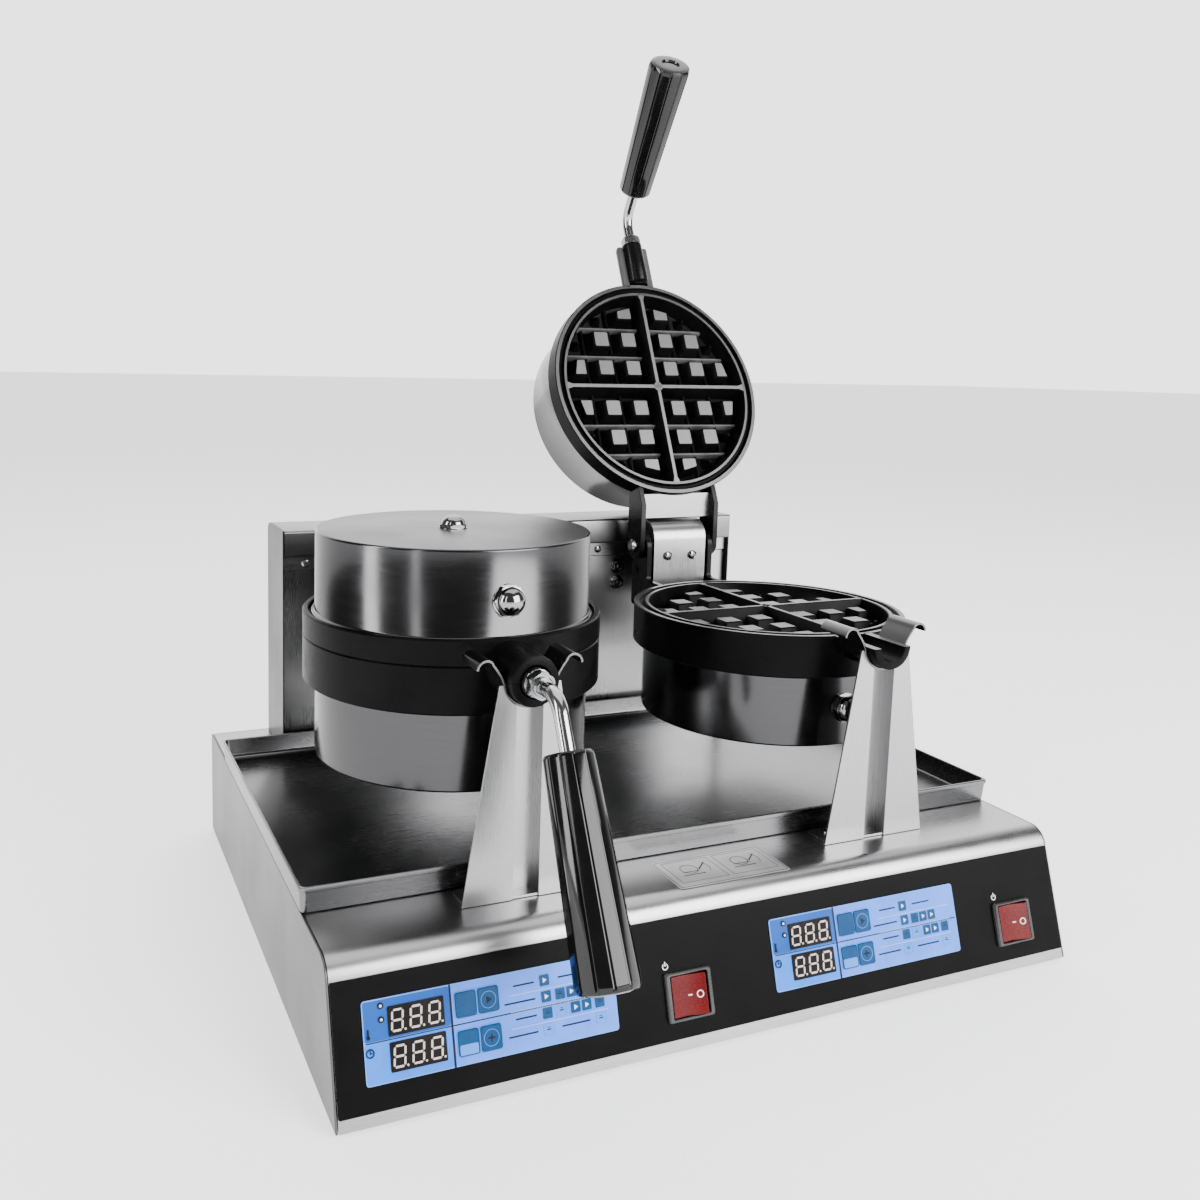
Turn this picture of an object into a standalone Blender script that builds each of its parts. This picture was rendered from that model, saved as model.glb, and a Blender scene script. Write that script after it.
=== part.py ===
"""Double rotary Belgian waffle maker: a chassis with a drip tray, a rear riser and two irons.

Metres, +Z up, front towards -Y. Each iron turns about a front-to-back axis, held by a front
saddle and a rear bearing, and its upper half opens on a hinge behind the grids. The left iron
is closed and the right one is open.
"""

import math

import bmesh
import bpy
from mathutils import Matrix, Vector

# Chassis
BASE_WIDTH = 0.520
BASE_DEPTH = 0.420
BASE_TOP = 0.086
FACE_SETBACK = 0.0267
BEND_RADIUS = 0.014
SHEET = 0.0015
THIN_SHEET = 0.0012
GAP = 0.0003
FOOT_HEIGHT = 0.0022
PAN_BOTTOM = 0.0025
ORIGIN_Y = 0.00948

# Drip tray
TRAY_FRONT = -0.1293
TRAY_BACK = 0.1420
TRAY_HALF_WIDTH = 0.2600
TRAY_RIM = 0.1026
TRAY_FLARE = 0.0016

# Riser
RISER_HALF_WIDTH = 0.2120
RISER_FRONT = 0.1451
RISER_BACK = 0.2066
RISER_TOP = 0.2686
RISER_LIP = 0.0216
RISER_PANEL = 0.1525
RISER_BEND = 0.008

# Irons
IRON_X = {"left": -0.1292, "right": 0.1338}
IRON_Y = -0.0210
AXIS_Z = 0.2215
RING_RADIUS = 0.1025
CAN_RADIUS = 0.0943
CAN_WALL = 0.0010
GRID_RADIUS = 0.0915
GRID_DEPTH = 0.0170
LOWER_RING = 0.0306
UPPER_RING = 0.0168
LOWER_CAN = 0.0825
UPPER_CAN = 0.0709
HALF_SEAM = 0.00015
ROUND = 48

# Waffle pattern, measured from the centre of the grid
PEG_OFFSETS = (0.0195, 0.0475, 0.0755)
PEG_TOP = 0.0080
PEG_BASE = 0.0102
PEG_RECESS = 0.0040
PEG_LIMIT = 0.0815
WEB_OFFSETS = (0.0335, 0.0615)

# Hinge behind each iron
HINGE_Y = 0.1201
HINGE_Z = 0.2483
OPEN_ANGLE = math.radians(114.5)
PIN_RADIUS = 0.0038
CHEEK_INNER = 0.0285
CHEEK_OUTER = 0.0335
ARM_INNER = 0.0345
ARM_OUTER = 0.0395
ARM_ROUND = 0.0115
AXLE_RADIUS = 0.0120
BOLT_X = 0.0380
BOLT_Z = (0.2093, 0.2243)

# Journal, saddle and posts
JOURNAL_RADIUS = 0.0155
JOURNAL_BORE = 0.0096
JOURNAL_FRONT = -0.1620
STEM_RADIUS = 0.0093
POST_FRONT = -0.1548
SADDLE_DEPTH = 0.026
SADDLE_RADIUS = 0.01665
POST_FOOT = 0.0412
POST_SHOULDER = 0.0198
SHOULDER_Z = 0.2190
CHANNEL = 0.0096

# Handle
ROD_RADIUS = 0.00475
ROD_BEND = 0.018
HANDLE_ROLL = {"left": 0.0, "right": math.radians(6.3)}
GRIP_START = Vector((0.0, -0.2056, AXIS_Z - 0.0276))
GRIP_END = Vector((0.0, -0.2606, AXIS_Z - 0.1373))
GRIP_BORE = 0.068

# Control face: u runs up the sloping face, n out of it
DISPLAY_LOW = 0.0229
DISPLAY_HIGH = 0.0657
SWITCH_U = 0.0336
SWITCH_X = (-0.0413, 0.2170)
SWITCH_HOLE = (0.0141, 0.0136)
BEZEL_OUTER = (0.0160, 0.0142)
BEZEL_FACE = (0.0154, 0.0136)
BEZEL_BODY = (0.0136, 0.0131)
BEZEL_INNER = (0.0127, 0.0122)
BEZEL_DEPTH = 0.0120
ROCKER_HALF = (0.0112, 0.0118)
DISPLAY_X = ((-0.2420, -0.0900), (0.0207, 0.1684))
KEY_X = (0.0593, 0.0728)
KEY_U = (0.0344, 0.0545)
KEY_HALF = (0.0064, 0.0069)
ROCKER_PIVOT = -0.0040
ROCKER_TILT = math.radians(8)

MATERIALS = {
    "brushed_steel": ((0.72, 0.72, 0.73), 1.0, 0.32),
    "polished_steel": ((0.80, 0.80, 0.81), 1.0, 0.14),
    "cast_iron": ((0.035, 0.034, 0.033), 0.6, 0.48),
    "black_paint": ((0.02, 0.02, 0.02), 0.0, 0.35),
    "bakelite": ((0.012, 0.012, 0.012), 0.0, 0.14),
    "panel_film": ((0.016, 0.016, 0.018), 0.0, 0.40),
    "display_blue": ((0.10, 0.36, 0.82), 0.0, 0.35),
    "switch_black": ((0.03, 0.03, 0.03), 0.0, 0.30),
    "switch_red": ((0.62, 0.02, 0.02), 0.0, 0.25),
    "rubber": ((0.03, 0.03, 0.03), 0.0, 0.80),
    "zinc": ((0.66, 0.67, 0.68), 1.0, 0.30),
    "board_green": ((0.03, 0.20, 0.09), 0.0, 0.45),
    "core_steel": ((0.35, 0.33, 0.31), 0.8, 0.50),
    "terminal_white": ((0.82, 0.81, 0.78), 0.0, 0.50),
    "element_steel": ((0.30, 0.28, 0.26), 0.9, 0.40),
}


def clear_scene():
    for obj in list(bpy.data.objects):
        bpy.data.objects.remove(obj, do_unlink=True)


def principled(name):
    colour, metallic, roughness = MATERIALS[name]
    material = bpy.data.materials.new(name)
    material.use_nodes = True
    shader = material.node_tree.nodes["Principled BSDF"]
    shader.inputs["Base Color"].default_value = (*colour, 1.0)
    shader.inputs["Metallic"].default_value = metallic
    shader.inputs["Roughness"].default_value = roughness
    return material


def mesh_of(points, faces):
    mesh = bpy.data.meshes.new("solid")
    mesh.from_pydata([tuple(p) for p in points], [], faces)
    bm = bmesh.new()
    bm.from_mesh(mesh)
    bmesh.ops.recalc_face_normals(bm, faces=bm.faces)
    bm.to_mesh(mesh)
    bm.free()
    return mesh


def stack(rings, loop=False):
    """Joins rings of points with the same count, capping the ends or closing into a loop."""
    count = len(rings[0])
    points = [p for ring in rings for p in ring]
    faces = []
    pairs = len(rings) if loop else len(rings) - 1
    for i in range(pairs):
        a = i * count
        b = ((i + 1) % len(rings)) * count
        for j in range(count):
            k = (j + 1) % count
            faces.append((a + j, a + k, b + k, b + j))
    if not loop:
        faces.append(tuple(range(count)))
        faces.append(tuple(range(len(points) - count, len(points))))
    return mesh_of(points, faces)


def on_axis(axis, along, a, b):
    if axis == "x":
        return Vector((along, a, b))
    if axis == "y":
        return Vector((a, along, b))
    return Vector((a, b, along))


def prism(outline, axis, low, high):
    return stack([[on_axis(axis, at, a, b) for a, b in outline] for at in (low, high)])


def box(low, high):
    outline = [(low[0], low[1]), (high[0], low[1]), (high[0], high[1]), (low[0], high[1])]
    return prism(outline, "z", low[2], high[2])


def lathe(profile, sides, axis="z"):
    """Turns (radius, height) points about an axis; a point of radius 0 closes the surface."""
    points = []
    starts = []
    for radius, height in profile:
        starts.append(len(points))
        if radius == 0:
            points.append(on_axis(axis, height, 0.0, 0.0))
            continue
        for i in range(sides):
            angle = 2 * math.pi * i / sides
            points.append(on_axis(axis, height, radius * math.cos(angle), radius * math.sin(angle)))
    poles = profile[0][0] == 0 and profile[-1][0] == 0
    faces = []
    for i in range(len(profile) if not poles else len(profile) - 1):
        k = (i + 1) % len(profile)
        for j in range(sides):
            m = (j + 1) % sides
            if profile[i][0] == 0:
                faces.append((starts[i], starts[k] + j, starts[k] + m))
            elif profile[k][0] == 0:
                faces.append((starts[i] + j, starts[i] + m, starts[k]))
            else:
                faces.append((starts[i] + j, starts[i] + m, starts[k] + m, starts[k] + j))
    return mesh_of(points, faces)


def cylinder(axis, centre, radius, low, high, sides=16):
    """A plain round bar; centre gives the two coordinates across the axis."""
    outline = []
    for i in range(sides):
        angle = 2 * math.pi * (i + 0.5) / sides
        outline.append((centre[0] + radius * math.cos(angle), centre[1] + radius * math.sin(angle)))
    return prism(outline, axis, low, high)


def sweep(path, radius, sides):
    """A round bar along a path."""
    rings = []
    side = None
    for i, point in enumerate(path):
        ahead = path[min(i + 1, len(path) - 1)] - path[max(i - 1, 0)]
        ahead.normalize()
        if side is None:
            side = ahead.orthogonal().normalized()
        side = (side - ahead * side.dot(ahead)).normalized()
        other = ahead.cross(side)
        ring = []
        for j in range(sides):
            angle = 2 * math.pi * (j + 0.5) / sides
            ring.append(point + radius * (math.cos(angle) * side + math.sin(angle) * other))
        rings.append(ring)
    return stack(rings)


def ribbon(path, thickness):
    """The outline of a bent sheet: a centre line given a thickness."""
    left = []
    right = []
    for i, point in enumerate(path):
        before = Vector(path[max(i - 1, 0)])
        after = Vector(path[min(i + 1, len(path) - 1)])
        along = (after - before).normalized()
        normal = Vector((-along.y, along.x)) * thickness / 2
        left.append(tuple(Vector(point) + normal))
        right.append(tuple(Vector(point) - normal))
    return left + right[::-1]


def arc(centre, radius, start, end, steps):
    """Points on an arc, with angles in degrees."""
    found = []
    for i in range(steps + 1):
        angle = math.radians(start + (end - start) * i / steps)
        found.append((centre[0] + radius * math.cos(angle), centre[1] + radius * math.sin(angle)))
    return found


def merged(*meshes):
    bm = bmesh.new()
    for mesh in meshes:
        bm.from_mesh(mesh)
    together = bpy.data.meshes.new("solid")
    bm.to_mesh(together)
    bm.free()
    return together


def moved(mesh, x=0.0, y=0.0, z=0.0):
    mesh.transform(Matrix.Translation((x, y, z)))
    return mesh


def body(name, pivot, turn=0.0):
    """An empty on the body's joint axis, turned about X by the pose at rest."""
    empty = bpy.data.objects.new(name, None)
    empty.location = Vector(pivot) + Vector((0, ORIGIN_Y, 0))
    empty.rotation_euler = (turn, 0, 0)
    bpy.context.scene.collection.objects.link(empty)
    return empty, Vector(pivot)


def place(name, mesh, parent):
    empty, pivot = parent
    mesh.transform(Matrix.Translation(-pivot))
    obj = bpy.data.objects.new(name, mesh)
    obj.parent = empty
    bpy.context.scene.collection.objects.link(obj)
    return obj


def node(name, mesh, material, parent, smooth=False):
    obj = place(name, mesh, parent)
    mesh.materials.append(principled_slots[material])
    if smooth:
        mesh.shade_smooth()
        mesh.set_sharp_from_angle(angle=math.radians(35))
    return obj


def combine(obj, operation, mesh, parent, with_self=False):
    helper = place(f"{obj.name}_{operation.lower()}", mesh, parent)
    helper.hide_render = True
    helper.display_type = "WIRE"
    modifier = obj.modifiers.new(operation.lower(), "BOOLEAN")
    modifier.operation = operation
    modifier.solver = "EXACT"
    modifier.use_self = with_self
    modifier.object = helper


def face_mesh(mesh):
    """Moves a mesh from (x, up the face, out of the face) to the chassis."""
    length = math.hypot(FACE_SETBACK, BASE_TOP)
    up = Vector((0, FACE_SETBACK, BASE_TOP)) / length
    out = Vector((0, -BASE_TOP, FACE_SETBACK)) / length
    frame = Matrix.Identity(4)
    for row in range(3):
        frame[row][1] = up[row]
        frame[row][2] = out[row]
    frame[1][3] = -BASE_DEPTH / 2
    mesh.transform(frame)
    return mesh


def rectangle(x, u, half_x, half_u, n):
    return [
        Vector((x - half_x, u - half_u, n)),
        Vector((x + half_x, u - half_u, n)),
        Vector((x + half_x, u + half_u, n)),
        Vector((x - half_x, u + half_u, n)),
    ]


def block_on_face(x, u, half, low, high):
    """A block on the control face, from one height above it to another."""
    return face_mesh(stack([rectangle(x, u, *half, low), rectangle(x, u, *half, high)]))


def switch_holes():
    return merged(*[block_on_face(x, SWITCH_U, SWITCH_HOLE, -0.02, 0.02) for x in SWITCH_X])


def chassis_outline(inset):
    """The side view of the front face, the bend and the top, as (y, z) points from the bottom."""
    lean = math.degrees(math.atan2(BASE_TOP, FACE_SETBACK))
    reach = BEND_RADIUS * math.tan(math.radians(lean / 2))
    centre = (-BASE_DEPTH / 2 + FACE_SETBACK + reach, BASE_TOP - BEND_RADIUS)
    slope = FACE_SETBACK / BASE_TOP
    low = (-BASE_DEPTH / 2 + slope * PAN_BOTTOM + inset / math.sin(math.radians(lean)), PAN_BOTTOM)
    return [low] + arc(centre, BEND_RADIUS - inset, 90 + lean, 90, 6)


def build_chassis(root):
    half = BASE_WIDTH / 2
    back = BASE_DEPTH / 2
    outer = chassis_outline(0)
    inner = chassis_outline(SHEET)
    top_end = back - SHEET - 0.0005
    sheet = outer + [(top_end, BASE_TOP), (top_end, BASE_TOP - SHEET)] + inner[::-1]
    inside = half - SHEET - GAP
    chassis = node("chassis_sheet", prism(sheet, "x", -inside, inside), "brushed_steel", root)
    combine(chassis, "DIFFERENCE", switch_holes(), root)
    side = outer + [(back, BASE_TOP), (back, PAN_BOTTOM)]
    for name, low in (("side_panel_left", -half), ("side_panel_right", half - SHEET)):
        node(name, prism(side, "x", low, low + SHEET), "brushed_steel", root)
    rear = node(
        "rear_panel",
        box((-inside, back - SHEET, PAN_BOTTOM), (inside, back, BASE_TOP)),
        "brushed_steel",
        root,
    )
    cuts = [cylinder("y", (0.200, 0.045), 0.0072, back - 0.01, back + 0.01)]
    for centre in (-0.130, 0.060):
        for i in range(6):
            x = centre + 0.014 * (i - 2.5)
            cuts.append(box((x - 0.0025, back - 0.01, 0.024), (x + 0.0025, back + 0.01, 0.064)))
    combine(rear, "DIFFERENCE", merged(*cuts), root)
    plate = box((-inside, -0.2060, PAN_BOTTOM), (inside, back - SHEET - GAP, PAN_BOTTOM + SHEET))
    node("bottom_plate", plate, "brushed_steel", root)
    for row, y in (("front", -0.178), ("rear", 0.178)):
        for hand, x in (("left", -0.228), ("right", 0.228)):
            pad = lathe([(0, 0), (0.0105, 0), (0.0120, FOOT_HEIGHT), (0, FOOT_HEIGHT)], 24)
            node(f"foot_{row}_{hand}", moved(pad, x, y), "rubber", root, smooth=True)
    gland = [
        (0.0040, 0.1990),
        (0.0068, 0.1990),
        (0.0068, 0.2103),
        (0.0110, 0.2103),
        (0.0110, 0.2150),
        (0.0085, 0.2190),
        (0.0040, 0.2190),
    ]
    node("cable_gland", moved(lathe(gland, 16, "y"), 0.200, 0, 0.045), "switch_black", root, smooth=True)


def build_electrics(root):
    board = box((-0.230, -0.165, 0.0300), (-0.080, -0.085, 0.0316))
    control = node("control_board", board, "board_green", root)
    blocks = [
        box((-0.222, -0.155, 0.0310), (-0.200, -0.135, 0.0460)),
        box((-0.190, -0.155, 0.0310), (-0.168, -0.135, 0.0460)),
        box((-0.120, -0.120, 0.0310), (-0.090, -0.095, 0.0420)),
        box((-0.226, -0.105, 0.0042), (-0.220, -0.099, 0.0310)),
        box((-0.090, -0.161, 0.0042), (-0.084, -0.155, 0.0310)),
    ]
    combine(control, "UNION", merged(*blocks), root)
    stack_of_sheets = box((0.060, -0.020, 0.0043), (0.125, 0.025, 0.0543))
    core = node("transformer", stack_of_sheets, "core_steel", root)
    combine(core, "UNION", box((0.070, -0.032, 0.0150), (0.115, 0.037, 0.0440)), root)
    base = box((0.150, 0.120, 0.0043), (0.230, 0.145, 0.0180))
    block = node("terminal_block", base, "terminal_white", root)
    combine(block, "UNION", box((0.155, 0.127, 0.0170), (0.225, 0.138, 0.0250)), root)


def build_tray(tray):
    low = BASE_TOP + GAP

    def ring(inset, z, flare):
        x = TRAY_HALF_WIDTH - inset + flare
        front = TRAY_FRONT + inset - flare
        back = TRAY_BACK - inset + flare
        return [Vector((-x, front, z)), Vector((x, front, z)), Vector((x, back, z)), Vector((-x, back, z))]

    rings = [
        ring(0, low, 0),
        ring(0, TRAY_RIM, TRAY_FLARE),
        ring(THIN_SHEET, TRAY_RIM, TRAY_FLARE),
        ring(THIN_SHEET, low + THIN_SHEET, 0),
    ]
    node("drip_tray", stack(rings), "brushed_steel", tray)


def build_riser(root):
    floor = BASE_TOP + GAP
    corner = (RISER_BACK - RISER_BEND, RISER_TOP - RISER_BEND)
    rounded = arc(corner, RISER_BEND, 90, 0, 5)
    outer = [(RISER_FRONT, RISER_TOP - RISER_LIP), (RISER_FRONT, RISER_TOP)] + rounded
    outer += [(RISER_BACK, floor)]
    within = arc(corner, RISER_BEND - THIN_SHEET, 0, 90, 5)
    inner = [(RISER_BACK - THIN_SHEET, floor)] + within
    inner += [(RISER_FRONT + THIN_SHEET, RISER_TOP - THIN_SHEET), (RISER_FRONT + THIN_SHEET, outer[0][1])]
    inside = RISER_HALF_WIDTH - THIN_SHEET - GAP
    node("riser_cover", prism(outer + inner, "x", -inside, inside), "brushed_steel", root)
    cheek = [(RISER_FRONT + 0.0012, floor), (RISER_FRONT + 0.0012, RISER_TOP)] + rounded
    cheek += [(RISER_BACK, floor)]
    for name, low in (
        ("riser_cheek_left", -RISER_HALF_WIDTH),
        ("riser_cheek_right", RISER_HALF_WIDTH - THIN_SHEET),
    ):
        node(name, prism(cheek, "x", low, low + THIN_SHEET), "brushed_steel", root)
    panel = box((-inside, RISER_PANEL, floor), (inside, RISER_PANEL + SHEET, 0.2345))
    front = node("riser_front", panel, "brushed_steel", root)
    cuts = []
    for x in IRON_X.values():
        cuts.append(cylinder("y", (x, AXIS_Z), 0.0135, 0.14, 0.17))
        for side in (-BOLT_X, BOLT_X):
            for z in BOLT_Z:
                cuts.append(cylinder("y", (x + side, z), 0.0031, 0.14, 0.17, 8))
    combine(front, "DIFFERENCE", merged(*cuts), root)
    strip = box((-inside, RISER_PANEL - 0.0015, 0.2352), (inside, RISER_PANEL, 0.2600))
    node("riser_strip", strip, "brushed_steel", root)
    for hand, x in IRON_X.items():
        flange = box((x - 0.046, 0.1545, 0.1985), (x + 0.046, 0.1585, 0.2400))
        bearing = node(f"bearing_{hand}", flange, "zinc", root)
        extras = [cylinder("y", (x, AXIS_Z), 0.0170, 0.1560, 0.1680, 24)]
        for side in (-BOLT_X, BOLT_X):
            for z in BOLT_Z:
                extras.append(cylinder("y", (x + side, z), 0.0026, 0.1500, 0.1560, 8))
                extras.append(cylinder("y", (x + side, z), 0.0052, 0.1478, 0.1520, 6))
        combine(bearing, "UNION", merged(*extras), root, with_self=True)
        combine(bearing, "DIFFERENCE", cylinder("y", (x, AXIS_Z), AXLE_RADIUS + GAP, 0.15, 0.18, 24), root)


def build_post(hand, x, root):
    floor = BASE_TOP + GAP
    notch = SADDLE_RADIUS + 0.00075 + GAP
    inner = CHANNEL - 0.0012
    start = math.degrees(math.asin((SHOULDER_Z - AXIS_Z) / notch))
    end = -math.degrees(math.acos(inner / notch))
    rim = arc((0, AXIS_Z), notch, start, end, 6)
    leg = [(POST_FOOT, floor), (POST_SHOULDER, SHOULDER_Z)] + rim + [(inner, floor)]
    front = POST_FRONT
    right = prism(leg, "y", front, front + SHEET)
    left = prism([(-a, b) for a, b in leg], "y", front, front + SHEET)
    depth = 0.0092
    wall = 0.0014
    channel = [
        (-CHANNEL, front + 0.0004),
        (-CHANNEL, front + depth),
        (CHANNEL, front + depth),
        (CHANNEL, front + 0.0004),
        (CHANNEL - wall, front + 0.0004),
        (CHANNEL - wall, front + depth - wall),
        (wall - CHANNEL, front + depth - wall),
        (wall - CHANNEL, front + 0.0004),
    ]
    groove = prism(channel, "z", floor + 0.0005, AXIS_Z - notch - 0.0002)
    flange = box((-0.0390, front + 0.0005, floor), (0.0390, front + 0.0220, floor + 0.0020))
    post = node(f"post_{hand}", moved(left, x), "brushed_steel", root)
    combine(post, "UNION", moved(merged(right, groove, flange), x), root, with_self=True)


def build_saddle(hand, x, root):
    side = arc((0, AXIS_Z), SADDLE_RADIUS, -90, -6, 8)
    side += [(0.0185, 0.2240), (0.0245, 0.2322), (0.0261, 0.2338), (0.0281, 0.2343)]
    side += [(0.0300, 0.2335), (0.0318, 0.2316), (0.0338, 0.2281)]
    path = [(-a, b) for a, b in side[:0:-1]] + side
    sheet = prism(ribbon(path, SHEET), "y", POST_FRONT, POST_FRONT + SADDLE_DEPTH)
    node(f"saddle_{hand}", moved(sheet, x), "polished_steel", root, smooth=True)


def peg_outline(x, y, half, limit):
    """A square round (x, y) whose far corners are pulled inside a circle."""
    outline = []
    for dx, dy in ((-1, -1), (1, -1), (1, 1), (-1, 1)):
        a = x + dx * half
        b = y + dy * half
        if math.hypot(a, b) > limit:
            if x > y:
                a = math.sqrt(limit**2 - b**2)
            else:
                b = math.sqrt(limit**2 - a**2)
        outline.append((a, b))
    return outline


def tapered(lower, upper, low, high, turn):
    """A peg or wall between two outlines, turned about the centre by a number of quarters."""
    c = (1, 0, -1, 0)[turn]
    s = (0, 1, 0, -1)[turn]
    rings = []
    for outline, z in ((lower, low), (upper, high)):
        rings.append([Vector((c * a - s * b, s * a + c * b, z)) for a, b in outline])
    return stack(rings)


def wall_outline(half, flare, length):
    """A straight wall that widens where it meets the rim."""
    near = length - 0.007
    return [
        (-length, -flare),
        (-near, -half),
        (near, -half),
        (length, -flare),
        (length, flare),
        (near, half),
        (-near, half),
        (-length, flare),
    ]


def strip_outline(start, end, offset, half):
    return [(start, offset - half), (end, offset - half), (end, offset + half), (start, offset + half)]


def waffle_pattern(sign):
    """The cross, the pegs and the low webs of one grid, with heights growing towards the seam."""
    floor = sign * (GRID_DEPTH + 0.001)
    top = sign * PEG_RECESS
    rim = sign * HALF_SEAM
    web = sign * (GRID_DEPTH - 0.003)
    reach = GRID_RADIUS + 0.0012
    pieces = []
    for turn in (0, 1):
        lower = wall_outline(0.0042, 0.0060, reach)
        upper = wall_outline(0.0017, 0.0040, reach)
        pieces.append(tapered(lower, upper, floor, rim, turn))
    for turn in range(4):
        for i, x in enumerate(PEG_OFFSETS):
            for y in PEG_OFFSETS[: 3 - i]:
                lower = peg_outline(x, y, PEG_BASE, PEG_LIMIT + 0.003)
                upper = peg_outline(x, y, PEG_TOP, PEG_LIMIT)
                pieces.append(tapered(lower, upper, floor, top, turn))
        for x, y in ((0.0700, 0.0445), (0.0445, 0.0700)):
            lower = peg_outline(x, y, 0.0045, 0.2)
            upper = peg_outline(x, y, 0.0008, 0.2)
            pieces.append(tapered(lower, upper, floor, sign * 0.0075, turn))
        for offset in WEB_OFFSETS:
            end = math.sqrt(GRID_RADIUS**2 - offset**2) - 0.001
            for swap in (False, True):
                lower = strip_outline(0.002, end, offset, 0.0020)
                upper = strip_outline(0.002, end, offset, 0.0006)
                if swap:
                    lower = [(b, a) for a, b in lower]
                    upper = [(b, a) for a, b in upper]
                pieces.append(tapered(lower, upper, floor, web, turn))
    return merged(*pieces)


def grid_profile(sign, ring, recess):
    """One casting: pan, inner rim, overflow groove, outer rim and outer ring."""
    points = [
        (0, GRID_DEPTH),
        (GRID_RADIUS - 0.0025, GRID_DEPTH),
        (GRID_RADIUS, HALF_SEAM),
        (GRID_RADIUS + 0.0022, HALF_SEAM),
        (GRID_RADIUS + 0.0028, 0.0036),
        (0.0968, 0.0036),
        (0.0976, HALF_SEAM),
        (RING_RADIUS, HALF_SEAM),
        (RING_RADIUS, ring),
        (0.0986, ring),
        (0.0986, recess),
        (0.0925, recess),
        (0.0918, GRID_DEPTH + 0.006),
        (0, GRID_DEPTH + 0.006),
    ]
    return [(radius, sign * height) for radius, height in points]


def half_journal(sign):
    """Half of the front journal, hollow for the stem, reaching into the ring's wall."""
    first, last = (0, 180) if sign > 0 else (180, 360)
    outer = arc((0, 0), JOURNAL_RADIUS, first, last, 12)
    inner = arc((0, 0), JOURNAL_BORE, last, first, 10)
    outline = []
    for a, b in outer + inner:
        outline.append((a, AXIS_Z + (max(b, HALF_SEAM) if sign > 0 else min(b, -HALF_SEAM))))
    return prism(outline, "y", JOURNAL_FRONT, -0.1205)


def dome_nut(radius=0.0095):
    """A domed nut standing on the plane z = 0 and reaching 1 mm below it."""
    profile = [
        (0, -0.0010),
        (radius, -0.0010),
        (radius, 0.0055),
        (radius * 0.80, 0.0070),
        (radius * 0.58, 0.0100),
        (0, 0.0112),
    ]
    return lathe(profile, 12)


def can_profile(sign, height, start, lip):
    """A drawn cup with a rounded shoulder, open towards the grid."""
    inside = CAN_RADIUS - CAN_WALL
    points = [
        (0, height),
        (CAN_RADIUS - 0.0040, height),
        (CAN_RADIUS - 0.0012, height - 0.0012),
        (CAN_RADIUS, height - 0.0040),
    ]
    if lip:
        points += [(CAN_RADIUS, start + 0.0024), (0.0974, start + 0.0016), (0.0974, start)]
    else:
        points += [(CAN_RADIUS, start)]
    points += [
        (inside, start),
        (inside, height - 0.0044),
        (inside - 0.0030, height - CAN_WALL),
        (0, height - CAN_WALL),
    ]
    return [(radius, sign * at) for radius, at in points]


def build_half(hand, x, upper, parent):
    """The casting, the can and the heating element of one half of an iron."""
    sign = 1 if upper else -1
    word = "upper" if upper else "lower"
    ring = UPPER_RING if upper else LOWER_RING
    recess = 0.0122 if upper else GRID_DEPTH + 0.006
    height = UPPER_CAN if upper else LOWER_CAN
    start = 0.0126 if upper else GRID_DEPTH + 0.0064
    centre = (x, IRON_Y, AXIS_Z)
    casting = moved(lathe(grid_profile(sign, ring, recess), ROUND), *centre)
    grid = node(f"grid_{word}_{hand}", casting, "cast_iron", parent, smooth=True)
    pattern = moved(waffle_pattern(sign), *centre)
    pieces = merged(pattern, moved(half_journal(sign), x))
    combine(grid, "UNION", pieces, parent, with_self=True)
    shell = moved(lathe(can_profile(sign, height, start, upper), ROUND), *centre)
    can = node(f"can_{word}_{hand}", shell, "brushed_steel", parent, smooth=True)
    end_nut = dome_nut()
    if not upper:
        end_nut.transform(Matrix.Rotation(math.pi, 4, "X"))
    moved(end_nut, x, IRON_Y, AXIS_Z + sign * height)
    face_nut = dome_nut(0.0102)
    face_nut.transform(Matrix.Rotation(math.pi / 2, 4, "X"))
    moved(face_nut, x + 0.002, IRON_Y - CAN_RADIUS, AXIS_Z + (0.0388 if upper else -0.0552))
    combine(can, "UNION", merged(end_nut, face_nut), parent)
    coil = [Vector((a, b, sign * (GRID_DEPTH + 0.0105))) for a, b in arc((0, 0), 0.058, 100, 440, 18)]
    bend = Vector((0, -0.004, sign * 0.003))
    leg = bend + Vector((0, -0.001, sign * 0.016))
    path = [coil[0] + leg, coil[0] + bend] + coil + [coil[-1] + bend, coil[-1] + leg]
    element = moved(sweep(path, 0.0033, 6), *centre)
    node(f"element_{word}_{hand}", element, "element_steel", parent, smooth=True)


def ring_cutter(x):
    """A plug slightly wider than the iron, which trims what meets its ring."""
    reach = RING_RADIUS + GAP
    plug = lathe([(0, -0.05), (reach, -0.05), (reach, 0.05), (0, 0.05)], 64)
    return moved(plug, x, IRON_Y, AXIS_Z)


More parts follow.
